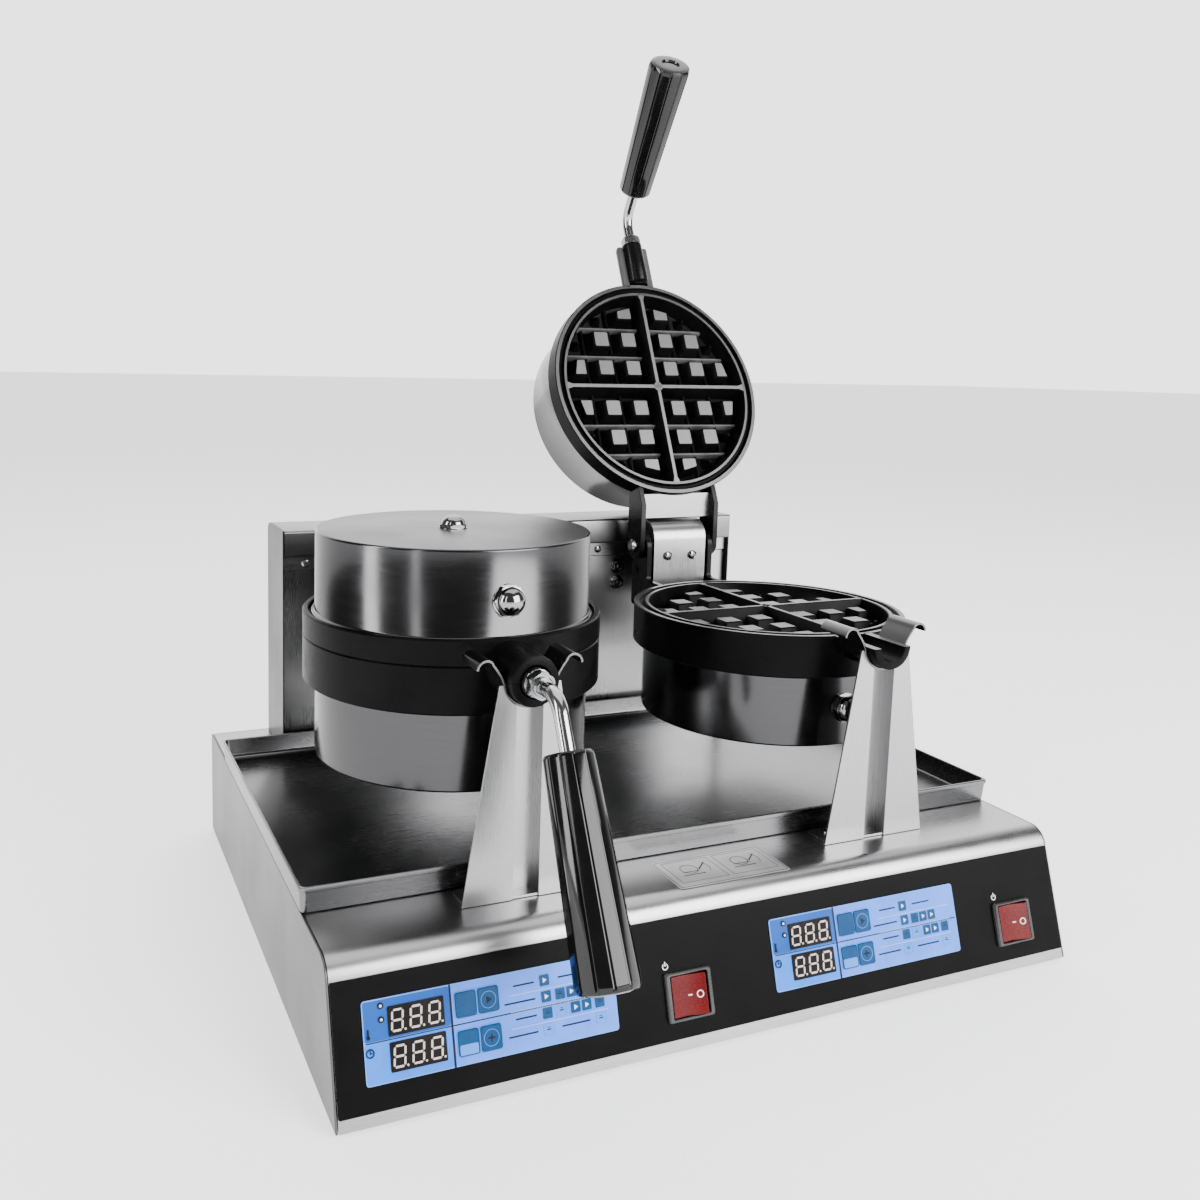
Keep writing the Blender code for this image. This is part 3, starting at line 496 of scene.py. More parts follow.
def bolt(radius=0.0052, height=0.004):
    """A hexagon bolt with its washer, standing on z = 0."""
    return layers([(0, disc(radius * 1.22)), (0.0006, disc(radius * 1.22)),
                   (0.0007, hexagon(radius, radius)), (height - 0.0007, hexagon(radius, radius)),
                   (height, hexagon(radius, radius * 0.9)), (height, disc(radius * 0.45)),
                   (height + 0.0018, disc(radius * 0.42)), (height + 0.0021, disc(radius * 0.34))])


def acorn(radius, height=0.0112):
    """A domed cap nut on a thin washer, standing on z = 0."""
    top = height * 0.3
    foot = top + 0.0002
    rings = [(-0.0006, disc(radius * 1.02)), (0.0004, disc(radius * 1.02)),
             (0.0005, hexagon(radius, radius)), (top - 0.0005, hexagon(radius, radius)),
             (top, hexagon(radius, radius * 0.94)), (foot, disc(radius * 0.86))]
    for a, b in arc((0, 0), 1, 0, 90, 8)[1:-1]:
        rings.append((foot + (height - foot) * b, disc(radius * 0.86 * a)))
    return layers(rings + [(height, disc(0.0002))])


def copies(mesh, places):
    """One mesh with a copy at every place."""
    return merged([moved(mesh.copy(), *place) for place in places])


# ---- chassis

def switch_openings():
    holes = [rectangle(x, SWITCH_U, *SWITCH_HOLE) for x in SWITCH_X.values()]
    return merged([prism(hole, "z", -0.02, 0.02) for hole in holes])


def shell_path(inset):
    """The side view of the front face, the bend and the top, as (y, z) points."""
    tilt = math.degrees(math.atan2(BASE_TOP, SETBACK))
    reach = BEND * math.tan(math.radians(tilt / 2))
    centre = (-BASE_BACK + SETBACK + reach, BASE_TOP - BEND)
    low = -BASE_BACK + SETBACK / BASE_TOP * PAN_BOTTOM + inset / math.sin(math.radians(tilt))
    return [(low, PAN_BOTTOM)] + arc(centre, BEND - inset, 90 + tilt, 90, 24)


def build_chassis():
    """The bent cover, the two side panels, the rear screws and the cable gland."""
    outer = shell_path(0)
    inner = shell_path(SHEET)
    end = BASE_BACK - SHEET - 0.0005
    inside = BASE_HALF - SHEET - GAP
    cutter = switch_openings()
    cutter.transform(BASE.inverted() @ FACE)
    sheet = prism(outer + [(end, BASE_TOP), (end, BASE_TOP - SHEET)] + inner[::-1], "x", -inside, inside)
    sheet = boolean(sheet, "DIFFERENCE", cutter)
    piece("chassis_cover", sheet, STEEL_X, replaces=["chassis_sheet"])
    side = outer + [(BASE_BACK, BASE_TOP), (BASE_BACK, PAN_BOTTOM)]
    for hand, low in (("left", -BASE_HALF), ("right", BASE_HALF - SHEET)):
        panel = prism(side, "x", low, low + SHEET)
        name = f"side_panel_{hand}"
        piece(f"{name}_skin", panel, STEEL_SIDE, replaces=[name], bevel=0.0005)
    heads = [(x, BASE_BACK, z) for x in (-0.245, -0.02, 0.245) for z in (0.012, 0.074)]
    piece("rear_screws", copies(turned(screw(0.003), -90, "X"), heads), ZINC)
    gland = [(0.004, 0.199), (0.0068, 0.199), (0.0068, 0.2103), (0.0108, 0.2103), (0.0112, 0.2107),
             (0.0112, 0.2125), (0.0104, 0.2133), (0.0098, 0.2135), (0.0092, 0.2185), (0.0084, 0.219),
             (0.0044, 0.219), (0.004, 0.2186)]
    piece("cable_gland_body", moved(lathe(gland, 32, "y"), 0.2, 0, 0.045), BLACK,
          replaces=["cable_gland"])


def build_tray():
    """The pan, as rings of (inset, height) from the outside over the rolled rim to the floor."""
    low = BASE_TOP + GAP
    middle = (TRAY_FRONT + TRAY_BACK) / 2
    depth = (TRAY_BACK - TRAY_FRONT) / 2
    inside = low + THIN
    flare = -TRAY_FLARE
    profile = (
        (0.0005, low), (0.0, low + 0.0006), (flare * 0.5, TRAY_RIM - 0.0034),
        (flare * 0.95, TRAY_RIM - 0.0028), (flare, TRAY_RIM - 0.0018), (flare * 0.9, TRAY_RIM - 0.0004),
        (flare * 0.6, TRAY_RIM), (flare + 0.0016, TRAY_RIM), (flare + 0.0021, TRAY_RIM - 0.0005),
        (0.0006, TRAY_RIM - 0.003), (THIN, inside + 0.003), (THIN + 0.0005, inside + 0.0012),
        (THIN + 0.0014, inside + 0.0004), (THIN + 0.003, inside), (0.03, inside),
    )
    rings = [(z, rectangle(0, middle, BASE_HALF - inset, depth - inset, 0.004)) for inset, z in profile]
    piece("tray_pan", layers(rings), STEEL_TRAY, "tray", replaces=["drip_tray"])


def build_riser():
    """The housing at the back: cap, cheeks, panel, rail, screws and bearing bolts."""
    foot_z = BASE_TOP + GAP
    inside = RISER_HALF - THIN - GAP
    half = THIN / 2
    corner = (RISER_BACK - RISER_BEND, RISER_TOP - RISER_BEND)
    lip = RISER_FRONT + half
    path = [(lip + 0.0035, RISER_TOP - RISER_LIP + half), (lip + 0.0012, RISER_TOP - RISER_LIP + half)]
    path += arc((lip + 0.0012, RISER_TOP - RISER_LIP + half + 0.0012), 0.0012, 270, 180, 4)
    path += arc((lip + 0.0016, RISER_TOP - half - 0.0016), 0.0016, 180, 90, 5)
    path += arc(corner, RISER_BEND - half, 90, 0, 12) + [(RISER_BACK - half, foot_z)]
    piece("riser_cap", prism(ribbon(path, THIN), "x", -inside, inside), STEEL_CAP,
          replaces=["riser_cover"])
    cheek = [(RISER_FRONT + 0.0012, foot_z), (RISER_FRONT + 0.0012, RISER_TOP)]
    cheek += arc(corner, RISER_BEND, 90, 0, 12) + [(RISER_BACK, foot_z)]
    for hand, low in (("left", -RISER_HALF), ("right", RISER_HALF - THIN)):
        name = f"riser_cheek_{hand}"
        piece(f"{name}_skin", prism(cheek, "x", low, low + THIN), STEEL_CHEEK,
              replaces=[name], bevel=0.0004)
    panel = box((-inside, RISER_PANEL, foot_z), (inside, RISER_PANEL + SHEET, 0.2345))
    piece("riser_panel", panel, STEEL_Z, replaces=["riser_front"], bevel=0.0004)
    strip = box((-inside, RISER_PANEL - 0.0015, 0.2352), (inside, RISER_PANEL, 0.26))
    piece("riser_rail", strip, STEEL_X, replaces=["riser_strip"], bevel=0.0003)
    front = [(x, RISER_PANEL - 0.0015, 0.241) for x in (-0.1925, -0.01, 0.075, 0.1925)]
    piece("riser_screws_front", copies(turned(screw(), 90, "X"), front), ZINC)
    low_head = 0.0016
    top = [(x, 0.175, RISER_TOP - low_head) for x in (-0.188, -0.005, 0.188)]
    piece("riser_screws_top", copies(screw(0.0036, low_head), top), ZINC)
    columns = [x + side for x in iron_x.values() for side in (-BOLT_X, BOLT_X)]
    heads = [(x, RISER_PANEL, z) for x in columns for z in BOLT_Z]
    piece("bearing_bolts", copies(turned(bolt(), 90, "X"), heads), ZINC)


# ---- posts and saddles

def build_post(hand):
    """A folded front post with its groove and foot, and the saddle strip on top of it."""
    x = iron_x[hand]
    foot_z = BASE_TOP + GAP
    z = axis_z
    notch = SADDLE + 0.0009
    inner = CHANNEL - 0.001
    start = math.degrees(math.asin((SHOULDER_Z - z) / notch))
    end = -math.degrees(math.acos(inner / notch))
    leg = [(POST_FOOT, foot_z), (POST_SHOULDER, SHOULDER_Z)] + arc((0, z), notch, start, end, 12)
    leg += [(inner, foot_z)]
    front = POST_FRONT
    solids = [prism(leg, "y", front, front + SHEET),
              prism([(-a, b) for a, b in leg], "y", front, front + SHEET)]
    depth = 0.0105
    lap, back, outer = front + 0.0008, front + depth, inner + SHEET
    channel = [(-inner, lap), (-inner, back), (inner, back), (inner, lap),
               (outer, lap), (outer, back + SHEET), (-outer, back + SHEET), (-outer, lap)]
    solids.append(prism(channel, "z", foot_z + 0.0004, z - notch - 0.0004))
    foot = span(-0.0395, 0.0395, front + 0.001, front + 0.022, 0.004)
    solids.append(prism(foot, "z", foot_z, foot_z + SHEET))
    made = solids[0]
    for solid in solids[1:]:
        made = boolean(made, "UNION", solid)
    piece(f"post_{hand}_sheet", moved(made, x), STEEL_Z, replaces=[f"post_{hand}"],
          bevel=0.0004)
    heads = [(x + side, front + 0.0135, foot_z + SHEET) for side in (-0.0285, 0.0285)]
    piece(f"post_{hand}_screws", copies(screw(0.0036), heads), ZINC)
    side = arc((0, z), SADDLE, -90, -6, 14)
    side += [(0.0174, 0.2215), (0.0187, 0.2243), (0.0205, 0.227), (0.0225, 0.2298), (0.024, 0.2318)]
    side += arc((0.0281, 0.2288), 0.0055, 135, 0, 9)
    path = [(-a, b) for a, b in side[:0:-1]] + side
    sheet = prism(ribbon(path, SHEET), "y", POST_FRONT, POST_FRONT + SADDLE_DEPTH)
    piece(f"saddle_{hand}_strip", moved(sheet, x), SADDLE_STEEL,
          replaces=[f"saddle_{hand}"], bevel=0.0003, angle=50)


# ---- irons

def peg_outline(x, y, half, limit):
    """A square whose far corners are pulled inside a circle."""
    outline = []
    for dx, dy in ((-1, -1), (1, -1), (1, 1), (-1, 1)):
        a = x + dx * half
        b = y + dy * half
        if math.hypot(a, b) > limit:
            if x > y:
                a = math.sqrt(limit**2 - b**2)
            else:
                b = math.sqrt(limit**2 - a**2)
        outline.append((a, b))
    return outline


def wall_outline(half, flare, length):
    """A thin wall that widens into the rim at both ends."""
    near = length - 0.006
    return [(-length, -flare), (-near, -half), (near, -half), (length, -flare),
            (length, flare), (near, half), (-near, half), (-length, flare)]


def waffle_pattern(sign):
    """The cross, its hub, the pegs and the webs of one grid, with cast fillets at the floor."""
    deep = DEPTH + 0.001
    solids = []

    def raise_up(rings, turn):
        solid = layers([(sign * z, outline) for z, outline in rings])
        solids.append(turned(solid, 90 * turn, "Z"))

    reach = BORE + 0.001
    wall = ((deep, 0.0062, 0.0078), (DEPTH - 0.0006, 0.005, 0.007), (DEPTH - 0.0022, 0.004, 0.0062),
            (SEAM + 0.0008, 0.002, 0.0044), (SEAM, 0.0015, 0.0036))
    for turn in (0, 1):
        raise_up([(z, wall_outline(half, flare, reach)) for z, half, flare in wall], turn)
    hub = [(deep, 0.01), (DEPTH - 0.002, 0.0078), (SEAM + 0.0008, 0.0048), (SEAM, 0.0042)]
    raise_up([(z, circle((0, 0), radius, 24)) for z, radius in hub], 0)
    peg = (
        (deep, PEG_BASE + 0.0018, PEG_LIMIT + 0.0046, 0.0045),
        (DEPTH - 0.0005, PEG_BASE + 0.0011, PEG_LIMIT + 0.0038, 0.0038),
        (DEPTH - 0.0018, PEG_BASE - 0.0001, PEG_LIMIT + 0.0028, 0.003),
        (PEG_RECESS + 0.0011, PEG_TOP - 0.0001, PEG_LIMIT + 0.0001, 0.0014),
        (PEG_RECESS + 0.0003, PEG_TOP - 0.0008, PEG_LIMIT - 0.0006, 0.0012),
        (PEG_RECESS, PEG_TOP - 0.0013, PEG_LIMIT - 0.0012, 0.001),
    )
    stud = ((deep, 0.0052, 0.002), (0.012, 0.0028, 0.001), (0.0078, 0.001, 0.0004))
    for turn in range(4):
        for i, x in enumerate(PEGS):
            for y in PEGS[: 3 - i]:
                rings = []
                for z, half, limit, corner in peg:
                    rings.append((z, rounded(peg_outline(x, y, half, limit), corner, 3)))
                raise_up(rings, turn)
        for x, y in STUDS:
            raise_up([(z, rectangle(x, y, half, half, corner, 3)) for z, half, corner in stud], turn)
        for offset in WEBS:
            end = math.sqrt(BORE**2 - offset**2)
            for swap in (False, True):
                along_y = swap != bool(turn % 2)
                top = DEPTH - (LOW_WEB if along_y else HIGH_WEB)
                rings = []
                web = ((deep, 0.0034), (DEPTH - 0.0008, 0.0026), (top + 0.0004, 0.001), (top, 0.0006))
                for z, half in web:
                    outline = span(0.002, end, offset - half, offset + half)
                    rings.append((z, [(b, a) for a, b in outline] if swap else outline))
                raise_up(rings, turn)
                # The webs along y keep the black cast; those along x get the lighter grey, a painted
                # highlight for their lit upper flanks.
                for face in solids[-1].polygons:
                    face.material_index = 0 if along_y else 3
    return merged(solids)


def grid_profile(sign):
    """One casting: pan, inner rim, overflow groove, outer rim and outer ring."""
    ring = RING_HEIGHT[sign]
    recess = 0.0122 if sign > 0 else DEPTH + 0.006
    points = [(0, DEPTH), (BORE - 0.0062, DEPTH), (BORE - 0.004, DEPTH - 0.0006),
              (BORE - 0.0028, DEPTH - 0.0022), (BORE - 0.0006, SEAM + 0.0006), (BORE, SEAM),
              (BORE + 0.0022, SEAM), (BORE + 0.0026, SEAM + 0.0005),
              (BORE + 0.003, 0.003), (BORE + 0.0036, 0.0036), (0.0972, 0.0036), (0.0979, 0.003),
              (0.0984, SEAM + 0.0006), (0.0989, SEAM), (RING - 0.0006, SEAM), (RING, SEAM + 0.0006),
              (RING, ring - 0.001), (RING - 0.001, ring), (0.0992, ring), (0.0986, ring - 0.0006),
              (0.0986, recess), (0.0925, recess), (0.0918, DEPTH + 0.006), (0, DEPTH + 0.006)]
    return [(radius, sign * height) for radius, height in points]


def half_journal(sign):
    """Half of the front journal, hollow for the stem, reaching into the ring's wall."""
    first, last = (0, 180) if sign > 0 else (180, 360)
    rings = []
    for y, outer, inner in (
        (JOURNAL_FRONT, JOURNAL - 0.0014, JOURNAL_BORE + 0.0008),
        (JOURNAL_FRONT + 0.0004, JOURNAL - 0.0005, JOURNAL_BORE + 0.0002),
        (JOURNAL_FRONT + 0.0016, JOURNAL, JOURNAL_BORE),
        (-0.0995, JOURNAL, JOURNAL_BORE),
    ):
        outline = arc((0, 0), outer, first, last, 28) + arc((0, 0), inner, last, first, 24)
        rings.append((y, [(a, max(b, SEAM) if sign > 0 else min(b, -SEAM)) for a, b in outline]))
    return layers(rings, "y")


def build_grid(hand, sign, body, at):
    """The casting: black, with milled peg tops and cross, bright rims, and the webs along x in a lighter grey
    that is a painted highlight.
    """
    word = "upper" if sign > 0 else "lower"
    mesh = merged([lathe(grid_profile(sign), 128), waffle_pattern(sign), half_journal(sign)])
    for face in mesh.polygons:
        height = abs(face.center.z)
        at_seam = height < SEAM + 0.0001
        radius = math.hypot(face.center.x, face.center.y)
        if abs(face.normal.z) < 0.95:
            continue
        if at_seam and radius > BORE - GAP:
            face.material_index = 2
        elif radius < BORE and (at_seam or abs(height - PEG_RECESS) < 0.0001):
            face.material_index = 1
    piece(f"grid_{word}_{hand}_casting", mesh, [CAST, MILLED, RIM, PAINTED_LIT_WEB], body, at,
          [f"grid_{word}_{hand}"], angle=32)


def build_can(hand, sign, body, at):
    """The steel shell over one heating element, with a dome nut on its end and front."""
    word = "upper" if sign > 0 else "lower"
    height = CAN_HEIGHT[sign]
    start = 0.0126 if sign > 0 else DEPTH + 0.0064
    inside = CAN - 0.001
    points = [(0, height)] + arc((CAN - 0.0016, height - 0.0016), 0.0016, 90, 0, 6)
    if sign > 0:
        points += [(CAN, start + 0.0042), (CAN + 0.0006, start + 0.0034)]
        points += arc((CAN + 0.0014, start + 0.0016), 0.0016, 100, -80, 8)
    else:
        points += [(CAN, start)]
    points += [(inside, start), (inside, height - 0.0024), (inside - 0.001, height - 0.001),
               (0, height - 0.001)]
    shell = lathe([(radius, sign * at_z) for radius, at_z in points], 128)
    for face in shell.polygons:
        if abs(face.normal.z) > 0.98:
            face.material_index = 1
    piece(f"can_{word}_{hand}_shell", shell, [STEEL_CAN, STEEL_LID], body, at,
          [f"can_{word}_{hand}"], angle=40)
    end_nut = acorn(0.0098, 0.0088)
    if sign < 0:
        end_nut = turned(end_nut, 180, "X")
    moved(end_nut, 0, 0, sign * height)
    piece(f"can_{word}_{hand}_nut_end", end_nut, CHROME, body, at, angle=30)
    face_nut = turned(acorn(0.0106), 90, "X")
    moved(face_nut, 0.002, -CAN + 0.0001, 0.0388 if sign > 0 else -0.0552)
    piece(f"can_{word}_{hand}_nut_front", face_nut, CHROME, body, at, angle=30)


def build_hinge(hand):
    """The bracket, cover and pin on the lower half, the arms and bridge on the lid."""
    low_body, lid = LOWER_BODY[hand], f"lid_{hand}"
    cheek = [(0.0985, -0.028), (0.153, -0.028), (0.153, 0.0285), (0.15, 0.036), (0.1411, 0.0395),
             (0.133, 0.0365), (0.1276, 0.03), (0.1276, -0.0025), (0.0985, -0.0025)]
    cheek = rounded(cheek, 0.0035, 4)
    thick = CHEEK_OUTER - CHEEK_INNER
    plates = [prism(cheek, "x", side, side + thick) for side in (-CHEEK_OUTER, CHEEK_INNER)]
    plates.append(box((-0.03, 0.15, -0.0273), (0.03, 0.1527, 0.0275)))
    piece(f"hinge_cheeks_{hand}", merged(plates), PAINT, low_body, IRON[hand],
          [f"hinge_bracket_{hand}"], bevel=0.0006)
    path = [(0.1286, -0.0255), (0.1286, 0.012)] + arc((0.1452, 0.032), 0.0166, 180, 92, 12)
    cover = prism(ribbon(path, THIN), "x", -0.0262, 0.0262)
    piece(f"hinge_cover_{hand}", cover, STEEL_Z, low_body, IRON[hand], bevel=0.0003,
          angle=50)
    spots = [(side, 0.128, 0.0185) for side in (-0.0125, 0.0125)]
    piece(f"hinge_screws_{hand}", copies(turned(screw(0.0041, 0.0029), 90, "X"), spots), CHROME,
          low_body, IRON[hand])
    pin = [(0, -0.043), (0.004, -0.043), (0.0056, -0.0418), (0.006, -0.0402), (0.006, -0.0397),
           (0.0038, -0.0396)]
    pin += [(radius, -at) for radius, at in pin[::-1]]
    pin_mesh = moved(lathe(pin, 32, "x"), 0, hinge.y, hinge.z)
    piece(f"hinge_pin_{hand}_bar", pin_mesh, ZINC, low_body, IRON[hand], [f"hinge_pin_{hand}"])
    rivets = []
    head = [(0, -0.0004), (0.0034, -0.0004), (0.0034, 0.0004), (0.0026, 0.0012), (0, 0.0016)]
    for side in (-1, 1):
        for y, z in ((0.1455, 0.004), (0.118, -0.015)):
            rivets.append(moved(turned(lathe(head, 24), 90 * side, "Y"), side * CHEEK_OUTER, y, z))
    piece(f"hinge_rivets_{hand}", merged(rivets), PAINT, low_body, IRON[hand])
    arm = [(0.095, 0.001), (0.1122, 0.001)] + arc((hinge.y, hinge.z), ARM_ROUND, -65.5, 114.5, 20)
    arm += [(0.095, 0.0184)]
    arms = [prism(arm, "x", side, side + ARM_OUTER - ARM_INNER) for side in (-ARM_OUTER, ARM_INNER)]
    piece(f"hinge_arms_{hand}_plates", merged(arms), PAINT, lid, LID[hand],
          [f"hinge_arms_{hand}"], bevel=0.0006)
    bridge = [(0.1195, 0.016), (0.1205, 0.0138), (0.101, 0.0049), (0.1, 0.0071)]
    piece(f"hinge_bridge_{hand}", prism(bridge, "x", -0.035, 0.035), STEEL_X, lid,
          LID[hand], bevel=0.0003)


def grip_section(radius, groove, flutes=12):
    """A round grip with flat facets between narrow grooves."""
    points = []
    for i in range(flutes):
        middle = 360 * i / flutes
        half = 180 / flutes
        for offset, depth in ((-half, groove), (-half + 2.2, groove * 0.75), (-half + 3.6, 0.0),
                              (-half * 0.4, 0.0), (half * 0.4, 0.0), (half - 3.6, 0.0),
                              (half - 2.2, groove * 0.75)):
            angle = math.radians(middle + offset)
            reach = radius * (1 - 0.012 * (1 - abs(offset) / half)) - depth
            points.append((reach * math.cos(angle), reach * math.sin(angle)))
    return points


def build_handle(hand):
    """The stem in the journal, the bent rod with its nut and the fluted grip."""
    lid, at = f"lid_{hand}", LID[hand]
    rolled = at @ Matrix.Rotation(ROLL[hand], 4, "Y")
    stem = [(0, -0.143), (STEM - 0.0008, -0.143), (STEM, -0.1422), (STEM, -0.1062),
            (STEM - 0.0007, -0.1046), (STEM - 0.0026, -0.1035), (0, -0.1032)]
    piece(f"stem_{hand}_bar", lathe(stem, 48, "y"), PAINT, lid, at, [f"stem_{hand}"])
    down = (GRIP_END - GRIP_START).normalized()
    elbow = GRIP_START - down * (GRIP_START.z / down.z)
    turn = math.acos(-down.y)
    centre = elbow + Vector((0, ROD_BEND * math.tan(turn / 2), -ROD_BEND))
    path = [Vector((0, -0.1445, 0))]
    for i in range(19):
        angle = turn * i / 18
        path.append(centre + ROD_BEND * Vector((0, -math.sin(angle), math.cos(angle))))
    path += [GRIP_START + down * t for t in (0.01, 0.03, GRIP_BORE - 0.001)]
    piece(f"handle_rod_{hand}_bar", sweep(path, ROD), POLISHED, lid, rolled,
          [f"handle_rod_{hand}"])
    corner = 0.0089
    nut = [(0, disc(0.0086)), (0.0005, disc(0.0086)), (0.0006, hexagon(corner, 0.0083)),
           (0.0017, hexagon(corner, corner)), (0.0066, hexagon(corner, corner)),
           (0.0074, hexagon(corner, 0.0082)), (0.0074, disc(0.0064)), (0.0088, disc(0.0062)),
           (0.0092, disc(0.0056))]
    nut_mesh = turned(turned(layers(nut), 30, "Z"), 90, "X")
    piece(f"handle_nut_{hand}", moved(nut_mesh, 0, -0.143, 0), ZINC, lid, rolled, angle=30)
    length = (GRIP_END - GRIP_START).length
    shape = (
        (0, 0.012, 0.0), (0.0002, 0.0134, 0.0), (0.0012, 0.0142, 0.0), (0.0026, 0.0146, 0.0008),
        (length * 0.5, 0.0163, 0.001), (length - 0.005, 0.018, 0.0011), (length - 0.0026, 0.0177, 0.0009),
        (length - 0.001, 0.0168, 0.0004), (length - 0.0002, 0.0152, 0.0), (length, 0.0135, 0.0),
        (length, 0.008, 0.0), (length - 0.0016, 0.0072, 0.0),
    )
    grip = layers([(z, grip_section(radius, groove)) for z, radius, groove in shape])
    bore = prism(circle((0, 0), ROD + GAP, 32), "z", -0.01, GRIP_BORE)
    grip = boolean(grip, "DIFFERENCE", bore)
    across = Vector((1, 0, 0))
    along = Matrix((across, down.cross(across), down)).transposed().to_4x4()
    held = rolled @ Matrix.Translation(GRIP_START) @ along
    piece(f"grip_{hand}_body", grip, BAKELITE, lid, held, [f"grip_{hand}"], angle=28)


# ---- controls

def plate(outline, low, high):
    return prism(outline, "z", low, high)


def hoop(x, u, outer, inner, low, high, count=24):
    """A flat ring."""
    wide = circle((x, u), outer, count)
    narrow = circle((x, u), inner, count)
    return layers([(low, wide), (high, wide), (high, narrow), (low, narrow)], loop=True)


def frame_of(x, u, half_x, half_u, corner, width, low, high):
    """A flat frame with rounded corners."""
    outer = rectangle(x, u, half_x, half_u, corner)
    inner = rectangle(x, u, half_x - width, half_u - width, max(corner - width, 0.0001))
    return layers([(low, outer), (high, outer), (high, inner), (low, inner)], loop=True)


def digit(x, u, low, high):
    """A seven-segment eight with its point."""
    half_x, half_u, half_width, slant = 0.003, 0.0053, 0.00055, 0.09
    shorter = 0.0004
    bars = []
    for v in (-half_u, 0, half_u):
        end = half_x - shorter
        near = end - half_width
        bars.append([(-end, v), (-near, v + half_width), (near, v + half_width), (end, v),
                     (near, v - half_width), (-near, v - half_width)])
    for side in (-half_x, half_x):
        for v in (-half_u / 2, half_u / 2):
            end = half_u / 2 - shorter
            near = end - half_width
            bars.append([(side, v - end), (side + half_width, v - near), (side + half_width, v + near),
                         (side, v + end), (side - half_width, v + near), (side - half_width, v - near)])
    solids = [plate([(x + a + slant * b, u + b) for a, b in bar], low, high) for bar in bars]
    return solids + [plate(circle((x + 0.0042, u - half_u), 0.0006, 12), low, high)]


FOIL_FINISH = {
    "deep": FOIL_DEEP, "mid": FOIL_MID, "pale": FOIL_PALE, "ink": DARK_INK, "window": WINDOW, "digit": DIGIT,
    "key": KEY, "key_light": KEY_LIGHT, "white": WHITE_INK,
}


